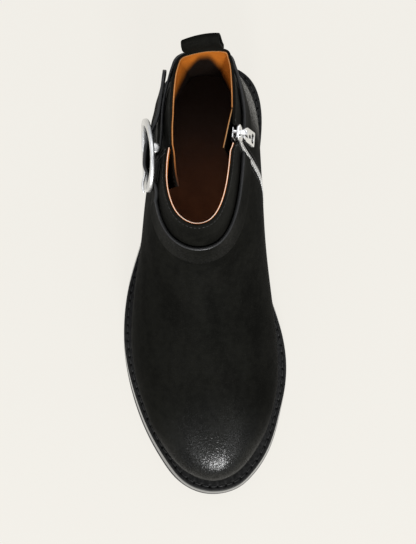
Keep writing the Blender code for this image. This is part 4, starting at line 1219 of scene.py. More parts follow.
# %% Lining
LINING_THICKNESS = 0.8
GUARD_ROOT = 13.2
GLUE = 0.03
EASE_REACH = 10
LAP_RELIEF = 13.0
HEEL_PAD, FLANK_PAD, LAP_PAD = 8.5, 0.6, 1.3
OUTER_PAD_STATIONS, INNER_PAD_STATIONS = (10.0, 54.0), (12.0, 38.0)
PAD_SWELLS, PAD_THINS = (0.0, 45.0), (60.0, 92.0)


def behind_guard(z):
    return zip_line(z) - GUARD_ROOT - 0.3


def behind_lap(z):
    """The front lining's edge: at the lap high up, and clear of the quarter's edge low down."""
    return vamp_edge(z) + 0.4 + LAP_RELIEF * (1 - smoothstep(z, 66.0, 80.0))


def beside_zip(z):
    return zip_front(z) + 0.6


quarter_lining = Panel(70, 110, (behind_guard, True), (flap_end, False), quarter_top)
vamp_lining = Panel(70, 130, (behind_lap, False), (beside_zip, True))


def heel_padding(panel):
    """How far the padding round the heel swells into the boot."""
    station, depth = panel.grid[..., 1], panel.from_top
    outer = FLANK_PAD + (HEEL_PAD - FLANK_PAD) * (1 - smoothstep(station, *OUTER_PAD_STATIONS))
    inner = HEEL_PAD * (1 - smoothstep(station, *INNER_PAD_STATIONS))
    most = np.where(outer_side(panel.turn), outer, inner)
    return most * smoothstep(depth, *PAD_SWELLS) * (1 - smoothstep(depth, *PAD_THINS))


def lap_padding(panel):
    """How far the vamp's lining swells beside its lap."""
    near = 1 - smoothstep(panel.from_first, 20.0, 40.0)
    swell = LAP_PAD * near * smoothstep(panel.from_top, 0.0, 7.0)
    return swell * (1 - smoothstep(panel.from_top, 30.0, 45.0))


def eased(moves):
    """Moves averaged with their neighbours along the panel."""
    wide = np.pad(moves, ((0, 0), (EASE_REACH, EASE_REACH), (0, 0)), mode="edge")
    return np.mean([wide[:, i : i + moves.shape[1]] for i in range(2 * EASE_REACH + 1)], axis=0)


def build_lining(name, panel, away, padding, lining, edge):
    """A lining with its cut edge along the top and black edges elsewhere."""
    face = panel.out(away - rounded(panel.cut, 0.22))
    plain = away - LINING_THICKNESS + rounded(panel.cut, 0.25)
    back = panel.out(plain)
    back = back + eased(eased(panel.out(plain - padding) - back))
    return make_piece(name, [shell(face, back, (1, 2, 3, 3))], [lining, lining, edge, shaft_nubuck])


quarter_inside = -quarter_sink(quarter_lining) - quarter_thickness(quarter_lining) - GLUE
vamp_inside = vamp_spring(vamp_lining) - VAMP_THICKNESS - GLUE
quarter_pad, vamp_pad = heel_padding(quarter_lining), lap_padding(vamp_lining)
heel_leathers, toe_leathers = (tan_lining, flap_edge), (front_lining_painted_light, cut_edge)
heel_lining = build_lining("quarter_lining", quarter_lining, quarter_inside, quarter_pad, *heel_leathers)
toe_lining = build_lining("vamp_lining", vamp_lining, vamp_inside, vamp_pad, *toe_leathers)
seat(heel_lining, "lining", "upper", "side_flap")
seat(toe_lining, "lining", "upper")

# %% [markdown]
# Behind the zip hangs a guard, a flap that keeps the teeth off the ankle. It is black outside and tan
# inside, and it leans into the boot from its sewn root.
# A plane with a Solidify modifier would have to be fitted by eye. A grid from root to free edge, moved in
# along the shaft's normal, gives both of its sides where they belong.

# %% Zip guard
GUARD_REACH = 23.0
GUARD_HEIGHTS = (52.0, 129.0)
GUARD_DEPTH, GUARD_SWING, GUARD_DROP = 1.6, 4.8, 3.0
GUARD_THICKNESS = 1.0


def build_zip_guard():
    beside = EDGE_STEPS / GUARD_REACH
    part = np.concatenate([beside, np.linspace(0.1, 0.9, 26), 1 - beside[::-1]])
    near_top = [0.985, 0.993, 0.997, 0.999, 1.0]
    level = np.concatenate([[0.0, 0.004, 0.012], np.linspace(0.03, 0.97, 50), near_top])
    part, level = np.meshgrid(part, level)
    bottom, top = GUARD_HEIGHTS
    height = top - GUARD_DROP * part - bottom
    z = bottom + height * level
    turn = turn_at(zip_station(z) - GUARD_ROOT + GUARD_REACH * part, z, True)
    edge = np.minimum(np.minimum(part, 1 - part) * GUARD_REACH, (1 - level) * height)
    away = GUARD_DEPTH + GUARD_SWING * part**0.9
    face = on_shaft(turn, z, -away - rounded(edge, 0.25))
    back = on_shaft(turn, z, -away - GUARD_THICKNESS + rounded(edge, 0.25))
    # The guard's top edge takes the heel lining's cut edge, with its painted shade towards the front.
    leathers = [shaft_nubuck, tan_lining, flap_edge]
    return make_piece("zip_guard_flap", [shell(face, back, (0, 2, 0, 0))], leathers)


seat(build_zip_guard(), "lining", "zip_guard")

# %% [markdown]
# Seams hold it together: a row under the collar, two at the vamp's lap, and one on each side of the zip.
# Stitches painted on in a finish would lie flat, so they are threads, as on the welt. Their lines are traced
# on the panels' own grids at a distance from each edge, so a stitch can never float.

# %% Seams of the upper
SEAM_PITCH, SEAM_RADIUS, SEAM_SINK = 2.6, 0.26, 0.02
THREAD_SHARE = 0.76
LAP_ROWS, ZIP_ROW = (2.0, 4.2), 2.2


def seam(panel, face, distance, wanted, axis, keep=None):
    """A row of stitches on a panel's face at a distance from one of its edges."""
    path = trace(face, distance, wanted, axis)
    normals = trace(panel.normal, distance, wanted, axis)
    if keep is not None:
        held = keep(path)
        path, normals = path[held], normals[held]
    length = SEAM_PITCH * THREAD_SHARE
    return threads(path, unit(normals), SEAM_PITCH, length, SEAM_RADIUS, sink=SEAM_SINK)


def above(height):
    return lambda path: path[:, 2] > height


vamp_rows = [seam(vamp, vamp_face, vamp.from_top, SEAM_FROM_TOP, 0)]
vamp_rows += [seam(vamp, vamp_face, vamp.from_first, row, 1, above(27.0)) for row in LAP_ROWS]
vamp_rows.append(seam(vamp, vamp_face, vamp.from_last, ZIP_ROW, 1, above(27.0)))
quarter_rows = [seam(quarter, quarter_face, quarter.from_top, SEAM_FROM_TOP, 0)]
quarter_rows.append(seam(quarter, quarter_face, quarter.from_first, ZIP_ROW, 1, above(30.0)))
seat(make_piece("vamp_stitching", vamp_rows, [upper_thread]), "upper")
seat(make_piece("quarter_stitching", quarter_rows, [upper_thread]), "upper")

# %% [markdown]
# The ankle strap goes from the zip round the front to the buckle and ends in a free tail; a second strap
# comes from the zip round the heel to the buckle's bar.
# Straps are cut from thick leather with their edges rounded, so the cross-section is a slim rounded bar.
# A curve with a bevel object would twist on the way, so the section is laid on the shaft's face ring by
# ring. The heel strap is skived, pared thinner, where the other strap's tail lies over it.

# %% Strap cross-section and route
STRAP_WIDTH, STRAP_THICKNESS = 16.5, 2.2
STRAP_CLEARANCE, STRAP_EDGE = 0.75, 0.85
STRAP_BACK_HEIGHT, STRAP_FRONT_HEIGHT = 104.0, 97.0
STRAP_ZIP_TURN = 0.09
BUCKLE_STATION = 66.0
SKIVE, SKIVE_STATIONS = 0.6, (9.0, 24.0)


def bar_section(width, thickness, radius, across, corner):
    """A rounded bar's outline as rows of across and out, outer face first."""
    half, deep = width / 2 - radius, thickness / 2 - radius

    def bend(a, o, start):
        angles = np.radians(np.linspace(start, start - 90, corner))
        return [(a + radius * math.cos(angle), o + radius * math.sin(angle)) for angle in angles]

    flat = np.linspace(-half, half, across)[1:-1]
    points = [(a, thickness / 2) for a in flat] + bend(half, deep, 90) + bend(half, -deep, 0)
    points += [(a, -thickness / 2) for a in flat[::-1]] + bend(-half, -deep, 270) + bend(-half, deep, 180)
    return np.array(points)


strap_bar = bar_section(STRAP_WIDTH, STRAP_THICKNESS, STRAP_EDGE, 27, 5)
at_edge = np.abs(strap_bar[:, 0]) > STRAP_WIDTH / 2 - 0.75 * STRAP_EDGE
strap_marks = (at_edge & np.roll(at_edge, -1)).astype(int).tolist()


def strap_height(station):
    share = station / fine_front[0][-1]
    return STRAP_BACK_HEIGHT + (STRAP_FRONT_HEIGHT - STRAP_BACK_HEIGHT) * share


def zip_turn(z):
    return turn_at(zip_station(z), z, True)


def strap_ring(turn, skived=0.0):
    """The strap's section where it lies on the shaft at a turn, its outer face skived where wanted."""
    z = strap_height(shaft_face(turn, STRAP_BACK_HEIGHT)[1])
    rise = shaft_face(turn, z + 2) - shaft_face(turn, z - 2)
    heights = z + strap_bar[:, 0] * rise[2] / np.linalg.norm(rise)
    out = STRAP_CLEARANCE + STRAP_THICKNESS / 2 + np.minimum(strap_bar[:, 1], STRAP_THICKNESS / 2 - skived)
    return on_shaft(np.full_like(heights, turn), heights, out)


def shrunk(ring, share):
    middle = ring.mean(axis=0)
    return middle + (ring - middle) * share


def build_back_strap():
    start = zip_turn(STRAP_BACK_HEIGHT) + STRAP_ZIP_TURN
    end = 2 * np.pi + turn_at(BUCKLE_STATION - 3, STRAP_BACK_HEIGHT, False)
    turns = np.linspace(start, end, 130)
    under_tail = [2 * np.pi + turn_at(station, STRAP_BACK_HEIGHT, False) for station in SKIVE_STATIONS]
    skived = SKIVE * smoothstep(turns, *under_tail)
    rings = [strap_ring(turn % (2 * np.pi), thin) for turn, thin in zip(turns, skived)]
    rings = [shrunk(rings[0], 0.9)] + rings + [shrunk(rings[-1], 0.9)]
    return make_piece("heel_strap", [loft(rings, column_marks=strap_marks)], [shaft_nubuck, strap_edge])


seat(build_back_strap(), "upper", "strap_back")

# %% [markdown]
# The front strap leaves the shaft before the buckle, dips under the ring's rim, rises over the bar and
# dips under the other rim. From there on its tail is free, with a rounded end and two punched holes.
# So from the buckle on the strap has its own route in plan, and it curls over where the ring bends it.
# A hole could be cut with a Boolean, but a dent in the loft's own grid keeps the mesh clean.

# %% Front strap with its tail
TAIL_HOLES = (37.0, 29.0)
HOLE_RADIUS, HOLE_DEPTH = 1.15, 1.5
BUCKLE_HALF_LENGTH, BUCKLE_BAND, BUCKLE_LEAN = 20.3, 4.4, math.radians(9.3)
STRAP_ROUTE = (
    (14.5, -25.6), (26.0, -27.5), (33.0, -29.0), (40.0, -30.4), (47.0, -32.3), (54.7, -34.5), (62.0, -35.4),
    (69.0, -35.8), (76.5, -35.6), (88.0, -31.7),
)
STRAP_CREST, STRAP_CURL = 69.0, 0.425
TIP_STEPS = np.array([3.2, 2.2, 1.4, 0.7, 0.25, 0.0])
TIP_LENGTH, TIP_SHARE = 9.0, 0.42


def build_front_strap():
    start = zip_turn(STRAP_BACK_HEIGHT) - STRAP_ZIP_TURN
    leave = turn_at(BUCKLE_STATION + 27, STRAP_BACK_HEIGHT, False)
    rings = [strap_ring(turn) for turn in np.linspace(start, leave, 170)]
    last = rings[-1].mean(axis=0)
    top, bottom = rings[-1][np.argmax(rings[-1][:, 2])], rings[-1][np.argmin(rings[-1][:, 2])]
    wall_lean = (top[0] - bottom[0]) / (top[2] - bottom[2])
    rim = BUCKLE_HALF_LENGTH + BUCKLE_BAND / 2
    route = table(STRAP_ROUTE + ((last[1], last[0]),))[0]

    def curl(at):
        return 1 - smoothstep(STRAP_CREST - at, 4.0, 26.0) - smoothstep(at - STRAP_CREST, 2.0, 17.0)

    def centre(at):
        return np.mean(route(at + np.linspace(-2, 2, 5)))

    tip = STRAP_ROUTE[0][0]
    tail = np.concatenate([np.linspace(last[1], tip + 4.0, 190)[1:], tip + TIP_STEPS])
    for at in tail:
        slope = centre(at + 0.5) - centre(at - 0.5)
        normal = np.array([-1.0, slope, 0.0]) / math.hypot(1.0, slope)
        ahead = min((at - tip) / TIP_LENGTH, 1.0)
        narrow = TIP_SHARE + (1 - TIP_SHARE) * math.sqrt(1 - (1 - ahead) ** 2)
        lean = math.tan(BUCKLE_LEAN) * smoothstep(at, tip, BUCKLE_STATION - rim)
        lean += (wall_lean - lean) * smoothstep(at, BUCKLE_STATION + rim - 6, last[1]) - STRAP_CURL * curl(at)
        rise, out = strap_bar[:, 0] * narrow, strap_bar[:, 1].copy()
        for hole in TAIL_HOLES:
            reach = np.hypot(at - hole, rise)
            dent = HOLE_DEPTH * (1 - smoothstep(reach, HOLE_RADIUS - 0.3, HOLE_RADIUS + 0.25))
            out -= np.where(out > 0.5, dent, 0.0)
        point = np.array([centre(at), at, strap_height(at)])
        ring = point + np.stack([lean * rise, 0.0 * rise, rise], axis=-1) + normal * out[:, None]
        rings.append(ring)
    rings = [shrunk(rings[0], 0.9)] + rings + [shrunk(rings[-1], 0.7)]
    return make_piece("ankle_strap", [loft(rings, column_marks=strap_marks)], [strap_nubuck, strap_edge])


seat(build_front_strap(), "upper", "strap_front")

# %% [markdown]
# The buckle is an oval ring of flat band, with a bar behind it on two round lugs and a prong that lies
# over the strap and rests on the front of the ring. The bar is bent in behind the strap, which curls there.
# A torus with a flattened section comes close; our loft goes round the oval with a boxier section, so the
# band keeps its flat face and its small rounded edges.

# %% Buckle ring, bar and prong
BUCKLE_X, BUCKLE_HALF_HEIGHT, BUCKLE_YAW = -35.4, 15.8, math.radians(-2.7)
BAR_RADIUS, BAR_DEPTH, BAR_OFFSET = 1.2, 2.6, -3.2
BAR_BOW = ((-1.0, 0.0), (-0.82, 1.4), (-0.66, 2.9), (-0.52, 3.1), (0.0, 0.3), (0.5, 0.0), (1.0, 0.0))
LUG_RADIUS, LUG_THICKNESS, LUG_DEPTH = 3.0, 2.4, 2.0
LUG_STEPS = np.array([-1.0, -0.9, -0.7, -0.35, 0.35, 0.7, 0.9, 1.0]) * LUG_THICKNESS / 2
LUG_SIZES = np.array([0.62, 0.8, 0.92, 1.0, 1.0, 0.92, 0.8, 0.62]) * LUG_RADIUS
PRONG_RADIUS, PRONG_OVERHANG, STRAP_BULGE = 1.0, 2.4, 0.5
BUCKLE_CAMBER, BAND_THICKNESS = 1.2, 3.4

buckle_centre = np.array([BUCKLE_X, BUCKLE_STATION, strap_height(BUCKLE_STATION)])
buckle_forward = np.array([-math.sin(BUCKLE_YAW), math.cos(BUCKLE_YAW), 0.0])
buckle_up = np.array([math.sin(BUCKLE_LEAN), 0.0, math.cos(BUCKLE_LEAN)])
buckle_out = unit(np.cross(buckle_up, buckle_forward))
buckle_out = buckle_out if buckle_out[0] < 0 else -buckle_out


def tube(points, side, other, sizes, sides, power=2.0):
    """Rings round a row of points: sizes give each ring's half-width and half-thickness.

    A power of 2 makes them round, and a higher one boxier.
    """
    angle = np.linspace(0, 2 * np.pi, sides, endpoint=False)
    cosine, sine = np.cos(angle), np.sin(angle)
    wide = np.sign(cosine) * np.abs(cosine) ** (2 / power)
    thick = np.sign(sine) * np.abs(sine) ** (2 / power)
    rings = []
    for point, (half_wide, half_thick) in zip(points, sizes):
        rings.append(point + side * half_wide * wide[:, None] + other * half_thick * thick[:, None])
    return rings


def build_buckle():
    rings = []
    for angle in np.linspace(0, 2 * np.pi, 150, endpoint=False):
        rise, run = math.cos(angle), math.sin(angle)
        point = buckle_centre + buckle_up * BUCKLE_HALF_HEIGHT * rise
        point = point + buckle_forward * BUCKLE_HALF_LENGTH * run + buckle_out * BUCKLE_CAMBER * run**2
        radial = unit(buckle_up * rise / BUCKLE_HALF_HEIGHT + buckle_forward * run / BUCKLE_HALF_LENGTH)
        size = (BUCKLE_BAND / 2, BAND_THICKNESS / 2 * (1 - 0.2 * rise))
        rings += tube([point], radial, buckle_out, [size], 24, 3.0)
    band = loft(rings, ring_closed=True)
    middle = buckle_centre + buckle_forward * BAR_OFFSET
    reach = BUCKLE_HALF_HEIGHT - LUG_THICKNESS / 2
    rows = [middle - buckle_out * (BAR_DEPTH + bow) + buckle_up * reach * share for share, bow in BAR_BOW]
    bar = loft(tube(rows, buckle_forward, buckle_out, [(BAR_RADIUS, BAR_RADIUS)] * len(rows), 16))
    blanks = [band, bar]
    for side in (1.0, -1.0):
        lug = middle - buckle_out * LUG_DEPTH + buckle_up * side * reach
        rows = [lug + buckle_up * step for step in LUG_STEPS]
        blanks.append(loft(tube(rows, buckle_forward, buckle_out, [(size, size) for size in LUG_SIZES], 24)))
    return make_piece("buckle_ring", blanks, [buckle_nickel])


def build_prong():
    over_strap = STRAP_BULGE + STRAP_THICKNESS / 2 + 0.7 * GAP + PRONG_RADIUS
    over_rim = BUCKLE_CAMBER + BAND_THICKNESS / 2 + GAP + PRONG_RADIUS
    rim = BUCKLE_HALF_LENGTH
    route = ((-2.5, over_strap), (3.0, over_strap), (9.0, over_strap - 0.3),
             (rim - 2.0, over_rim + 0.4), (rim + PRONG_OVERHANG, over_rim - 0.1))
    line = arc_spline(route)
    share = np.concatenate([[0.0, 0.006, 0.02], np.linspace(0.05, 0.95, 30), [0.975, 0.99, 1.0]])
    places = zip(line[0](share), line[1](share))
    points = [buckle_centre + buckle_forward * ahead + buckle_out * out for ahead, out in places]
    wide = PRONG_RADIUS * (1.55 - 0.45 * share)
    thick = PRONG_RADIUS * (0.95 - 0.1 * share)
    ends = np.sqrt(1 - np.clip(1 - np.minimum(share, 1 - share) / 0.05, 0, 1) ** 2 * 0.75)
    rings = tube(points, buckle_up, buckle_out, list(zip(wide * ends, thick * ends)), 20, 2.6)
    return make_piece("buckle_tongue", [loft(rings)], [buckle_nickel])


seat(build_buckle(), "hardware", "buckle_frame")
seat(build_prong(), "hardware", "buckle_prong")

# %% [markdown]
# The zip has two rows of metal teeth on woven tape. Each row is set half a step from the other, and every
# tooth is a small block with softened edges.
# An Array modifier along a curve is the usual way. Here the zip's line is a formula, so each tooth is
# placed straight on it, with its own way up, across and out. The tape lies behind the teeth and runs on a
# little below the last one.

# %% Zip teeth and tape
CHAIN_PROUD = 0.4
TAPE_FOOT = 4.5
TOOTH_PITCH = 2.3
TOOTH_HALF, TOOTH_HEAD, TOOTH_ROOT, TOOTH_BACK = 0.55, -0.55, 2.05, -1.1
TAPE_HALF_WIDTH, TAPE_THICKNESS = 4.6, 0.45
TAPE_PROFILE = (
    (-4.6, -1.75), (-2.6, -1.65), (-1.6, -1.4), (0.0, -1.25), (1.6, -1.4), (2.6, -2.4), (3.2, -2.62),
    (4.6, -2.7),
)
SLIDER_LENGTH = 11.0
SLIDER_Z = ZIP_TOP - 1.5 - SLIDER_LENGTH / 2


def zip_frame(z):
    """At heights on the zip's line: the points on the outer face, and the ways up, across and out."""
    point = on_shaft(zip_turn(z), z)
    up = unit(on_shaft(zip_turn(z + 1), z + 1) - on_shaft(zip_turn(z - 1), z - 1))
    out = on_shaft(zip_turn(z), z, 1.0) - point
    out = unit(out - up * np.sum(out * up, axis=-1, keepdims=True))
    return point, up, np.cross(up, out), out


def block_rings(frame_at, low, high, soft):
    """Rings of a softened box in a frame: low and high are corners of up, across and out."""
    point, up, across, out = frame_at
    middle = (np.array(low) + np.array(high)) / 2
    half = (np.array(high) - np.array(low)) / 2
    section = bar_section(2 * half[1], 2 * half[2], soft, 3, 3)
    end, near_end = half[0], half[0] - soft * 0.5
    rings = []
    for place, share in ((-end, 0.82), (-near_end, 0.96), (near_end, 0.96), (end, 0.82)):
        start = point + up * (middle[0] + place)
        places = [(middle[1] + a * share, middle[2] + o * share) for a, o in section]
        rings.append([start + across * a + out * o for a, o in places])
    return rings


def build_teeth():
    heights = np.linspace(ZIP_BOTTOM, SLIDER_Z - 2.0, 400)
    run = arc_length(zip_frame(heights)[0])
    count = int(run[-1] / (TOOTH_PITCH / 2))
    places = zip_frame(np.interp(np.arange(1, count) * TOOTH_PITCH / 2, run, heights))
    blanks = []
    for k, place in enumerate(zip(*places)):
        side = -1 if k % 2 else 1
        left, right = sorted((TOOTH_HEAD * side, TOOTH_ROOT * side))
        low, high = (-TOOTH_HALF, left, TOOTH_BACK), (TOOTH_HALF, right, CHAIN_PROUD)
        blanks.append(loft(block_rings(place, low, high, 0.3)))
    foot = zip_frame(ZIP_BOTTOM + 0.6)
    blanks.append(loft(block_rings(foot, (-0.9, -2.2, -1.0), (0.9, 2.2, 0.5), 0.35)))
    print(len(blanks) - 1, "teeth and a stop")
    return make_piece("zip_teeth", blanks, [zip_nickel])


def build_tape():
    fine = np.linspace(-TAPE_HALF_WIDTH, TAPE_HALF_WIDTH, 33)[:, None]
    lift = np.interp(fine, *np.array(TAPE_PROFILE).T)
    heights = np.linspace(ZIP_BOTTOM - TAPE_FOOT, SLIDER_Z - GAP, 95)
    point, _, across, out = (part[:, None] for part in zip_frame(heights))
    face = point + across * fine + out * lift
    back = face - out * TAPE_THICKNESS
    return make_piece("zip_tape", [shell(face, back, 1)], [tape_finish, tape_finish])


seat(build_teeth(), "zip", "zip_chain")
seat(build_tape(), "zip", "zip_chain")

# %% [markdown]
# The slider and its pull tab are cut from flat metal, with rounded corners and punched holes.
# A loft can't have holes, and Booleans leave ragged meshes. Flat parts with holes are what Blender's 2D
# curves do best: draw the rim and the holes, extrude, and bevel. We turn that curve into a mesh, stand it in
# the zip's frame, and mark the walls of the holes for a dark metal, painted shade in them.

# %% Flat plates from curves
DARK_WALL = 0.45
CORNER_STEPS, HOLE_STEPS = 5, 24


def flat_plate(rim, holes, thickness, soft, placing, dark_holes=()):
    """A blank of a flat plate with holes. Placing turns along, across and out into a point."""
    data = bpy.data.curves.new("plate_outline", "CURVE")
    data.dimensions, data.fill_mode = "2D", "BOTH"
    data.extrude, data.bevel_depth, data.bevel_resolution = thickness / 2 - soft, soft, 2
    data.offset = -soft
    for loop in (rim, *holes):
        drawn = data.splines.new("POLY")
        drawn.points.add(len(loop) - 1)
        for point, (a, b) in zip(drawn.points, loop):
            point.co = (a, b, 0.0, 1.0)
        drawn.use_cyclic_u = True
    holder = bpy.data.objects.new("plate_outline", data)
    bpy.context.scene.collection.objects.link(holder)
    mesh = bpy.data.meshes.new_from_object(holder.evaluated_get(bpy.context.evaluated_depsgraph_get()))
    points = np.array([placing(*vertex.co) for vertex in mesh.vertices])
    faces = [list(polygon.vertices) for polygon in mesh.polygons]
    marks = [0] * len(faces)
    for drilled in dark_holes:
        for i, polygon in enumerate(mesh.polygons):
            reach = np.linalg.norm(np.array(drilled) - np.array(polygon.center[:2]), axis=1).min()
            if abs(polygon.normal.z) < 0.5 and reach < DARK_WALL:
                marks[i] = 1
    bpy.data.objects.remove(holder, do_unlink=True)
    bpy.data.curves.remove(data)
    bpy.data.meshes.remove(mesh)
    return points, faces, marks


def round_corners(corners, radius):
    """A polygon's outline with its corners rounded."""
    corners = np.array(corners, float)
    outline = []
    for i, corner in enumerate(corners):
        before, after = corners[i - 1], corners[(i + 1) % len(corners)]
        to_before, to_after = unit(before - corner), unit(after - corner)
        turn = math.acos(np.clip(np.dot(to_before, to_after), -1, 1))
        most = min(0.45 * np.linalg.norm(before - corner), 0.45 * np.linalg.norm(after - corner))
        reach = min(radius / math.tan(turn / 2), most)
        start, end = corner + to_before * reach, corner + to_after * reach
        for t in np.linspace(0, 1, CORNER_STEPS):
            outline.append((1 - t) ** 2 * start + 2 * t * (1 - t) * corner + t**2 * end)
    return outline


def hole(along, across, half_long, half_wide):
    """The outline of a slot with round ends."""
    angle = np.linspace(0, 2 * np.pi, HOLE_STEPS, endpoint=False)
    cosine, sine = np.cos(angle), np.sin(angle)
    small = min(half_long, half_wide)
    reach, tall = half_long - small, half_wide - small
    return [(along + small * c + math.copysign(reach, c), across + small * s + math.copysign(tall, s))
            for c, s in zip(cosine, sine)]


print("outline of a rounded square has", len(round_corners(((0, 0), (1, 0), (1, 1), (0, 1)), 0.2)), "points")

# %% [markdown]
# A zip slider is two plates, a shield in front of the teeth and a smaller one behind, joined by a wedge.
# A bridge on the front plate holds the pull tab, which swings on it.
# One solid block would look the same from afar. From close by the gap between the plates shows, so each
# part is made: plates from curves, the wedge as a softened block, the bridge as a loft along an arch.

# %% Zip slider
SLIDER_WIDTH, SLIDER_PLATE = 10.0, 2.3
SLIDER_BASE = CHAIN_PROUD + GAP
BRIDGE_WIDTH, BRIDGE_THICKNESS, BRIDGE_SPAN = 2.6, 1.3, 5.0
SLIDER_TAIL, PIN_RISE = 2.2, 1.6
PIN_OUT = SLIDER_BASE + SLIDER_PLATE + PIN_RISE
slider_frame = zip_frame(SLIDER_Z)


def in_slider(up_by, across_by, out_by):
    point, up, across, out = slider_frame
    return point + up * up_by + across * across_by + out * out_by


def build_slider():
    half, width = SLIDER_LENGTH / 2, SLIDER_WIDTH / 2
    shield = [(half, -width * 0.72), (half, width * 0.72), (half * 0.55, width), (-half * 0.2, width * 0.92),
              (-half - SLIDER_TAIL, width * 0.62), (-half - SLIDER_TAIL, -width * 0.62),
              (-half * 0.2, -width * 0.92), (half * 0.55, -width)]
    rim = round_corners(shield, 1.4)
    middle = SLIDER_BASE + 0.9
    blanks = [flat_plate(rim, (), 1.7, 0.4, lambda a, b, c: in_slider(a, b, middle + c))]
    back_rim = round_corners([(3.4, -3.5), (3.4, 3.5), (-6.5, 3.75), (-6.5, -3.75)], 0.8)
    blanks.append(flat_plate(back_rim, (), 0.7, 0.2, lambda a, b, c: in_slider(a, b, -1.9 + c)))
    core = (slider_frame, (0.6, -0.8, -2.0), (half - 0.5, 0.8, middle), 0.4)
    blanks.append(loft(block_rings(*core)))
    inside = BRIDGE_SPAN / 2 + BRIDGE_THICKNESS / 2
    foot, roof = middle + 0.2, PIN_OUT + PIN_RISE + BRIDGE_THICKNESS / 2
    route = ((-inside, foot), (-inside, roof - 2.2), (-inside + 0.9, roof - 0.5), (0.0, roof),
             (inside - 0.9, roof - 0.5), (inside, roof - 2.2), (inside, foot))
    line = arc_spline(route)
    share = np.linspace(0, 1, 40)
    path = np.stack([line[0](share), line[1](share)], axis=-1)
    way = unit(np.gradient(path, axis=0))
    section = bar_section(BRIDGE_WIDTH, BRIDGE_THICKNESS, 0.35, 4, 4)
    rings = [[in_slider(p[0] - w[1] * o, a, p[1] + w[0] * o) for a, o in section] for p, w in zip(path, way)]
    blanks.append(loft(rings))
    return make_piece("zip_slider_body", blanks, [zip_nickel])


seat(build_slider(), "hardware", "zip_slider")

# %% [markdown]
# The pull tab is the one hard piece that moves: it swings on the slider's bridge.
# It is drawn as a plate that widens from the slider on, with a window for the bridge, a short slot along it
# and a larger one across its end. The walls of the two slots get the dark metal, painted shade in the slots.
# An animation could move it, but it rides on the frame's own moving body, so every pose carries it.

# %% Pull tab
PULL_WIDTH, PULL_LENGTH, PULL_THICKNESS = 9.0, 17.0, 1.5
SHORT_SLOT, CROSS_SLOT = (8.4, 0.0, 1.7, 1.1), (13.4, 0.0, 1.9, 3.0)
PULL_REST_ANGLE = math.radians(10.0)


def in_pull(along_by, across_by, out_by):
    point, up, across, out = slider_frame
    cosine, sine = math.cos(PULL_REST_ANGLE), math.sin(PULL_REST_ANGLE)
    along, away = -up * cosine + out * sine, out * cosine + up * sine
    return point + out * PIN_OUT + along * along_by + across * across_by + away * out_by


def build_pull_tab():
    half, width = PULL_THICKNESS / 2, PULL_WIDTH / 2
    side = [(-half, 2.9), (1.4, 3.7), (3.8, width), (PULL_LENGTH, width)]
    other = [(along, -across) for along, across in side]
    rim = round_corners([other[0], *side, *other[:0:-1]], 1.0)
    window = round_corners([(half, -1.75), (half, 1.75), (5.8, 1.75), (5.8, -1.75)], 0.5)[::-1]
    punched = [hole(*slot)[::-1] for slot in (SHORT_SLOT, CROSS_SLOT)]
    # The walls of the punched slots take the dark metal: painted shade in the slots.
    plate = flat_plate(rim, (window, *punched), PULL_THICKNESS, 0.25, in_pull, punched)
    return make_piece("zip_pull_tab", [plate], [zip_nickel, hole_wall_shade_metal])


seat(build_pull_tab(), "hardware", "zip_pull", body="zip_pull")

# %% [markdown]
# At the back of the collar a folded strip of leather makes the loop that the boot is pulled on by.
# It starts inside the collar, folds over backwards and is sewn down outside the heel. It leans to the
# outer side and is turned with the collar.
# Bending a flat strip with modifiers would do. Here the fold is a curve in side view, so a sheet is carried
# along that curve and given its thickness.

# %% Pull loop
LOOP_HALF_TURN, LOOP_SHIFT, LOOP_LEAN = 0.218, 0.2, 0.18
LOOP_SKEW, LOOP_HEIGHT = 0.085, 17.0
LOOP_CLEARANCE, LOOP_THICKNESS = 0.8, 1.6
LOOP_EDGE, LOOP_SIDE_REACH, LOOP_END_REACH = 0.5, 9.0, 55.0
COLLAR_BACK = BACK_LINE[-1][1]


def loop_grid():
    leg, inner = LOOP_THICKNESS / 2 + LOOP_CLEARANCE, -WALL / 2
    route = ((leg, -20.0), (leg, -10.0), (leg + 0.2, -1.0), (leg + 2.0, 7.5), (leg + 4.0, 14.5),
             (leg + 3.0, 17.2), (leg + 0.4, 15.6), (inner + 1.4, 6.0), (inner, GAP))
    line = arc_spline(route)
    share = np.concatenate([[0.0, 0.004, 0.012], np.linspace(0.025, 0.975, 70), [0.988, 0.996, 1.0]])
    out, rise = line[0](share), line[1](share)
    way = unit(np.stack([np.gradient(out), np.gradient(rise)], axis=-1))
    across = np.concatenate([[-1, -0.985, -0.95], np.linspace(-0.9, 0.9, 23), [0.95, 0.985, 1]])
    turns = LOOP_HALF_TURN * across
    from_end = np.minimum(share, 1 - share) * LOOP_END_REACH
    middle = on_shaft(0.0, COLLAR_BACK)
    sides = []
    for side in (0.5, -0.5):
        grid = np.zeros((len(share), len(turns), 3))
        for j, turn in enumerate(turns):
            base = on_shaft(turn % (2 * np.pi), COLLAR_BACK)
            from_side = (1 - abs(turn) / LOOP_HALF_TURN) * LOOP_SIDE_REACH
            soft = rounded(np.minimum(from_side, from_end), LOOP_EDGE)
            thick = side * (LOOP_THICKNESS - 1.2 * soft)
            away, z = out + way[:, 1] * thick, rise - way[:, 0] * thick
            over = np.maximum(z, 0.0)
            twist = LOOP_SKEW * over / LOOP_HEIGHT * (base[0] - middle[0])
            low = np.minimum(COLLAR_BACK + z, COLLAR_BACK)
            face = on_shaft(np.full_like(low, turn % (2 * np.pi)), low)
            x = base[0] + LOOP_SHIFT - LOOP_LEAN * over
            grid[:, j] = np.stack([x, face[:, 1] - away - twist, COLLAR_BACK + z], axis=-1)
        sides.append(grid)
    return sides


loop_face, loop_back = loop_grid()
pull_loop = make_piece("heel_pull_loop", [shell(loop_face, loop_back, 0)], [shaft_nubuck, shaft_nubuck])
seat(pull_loop, "upper", "pull_loop")


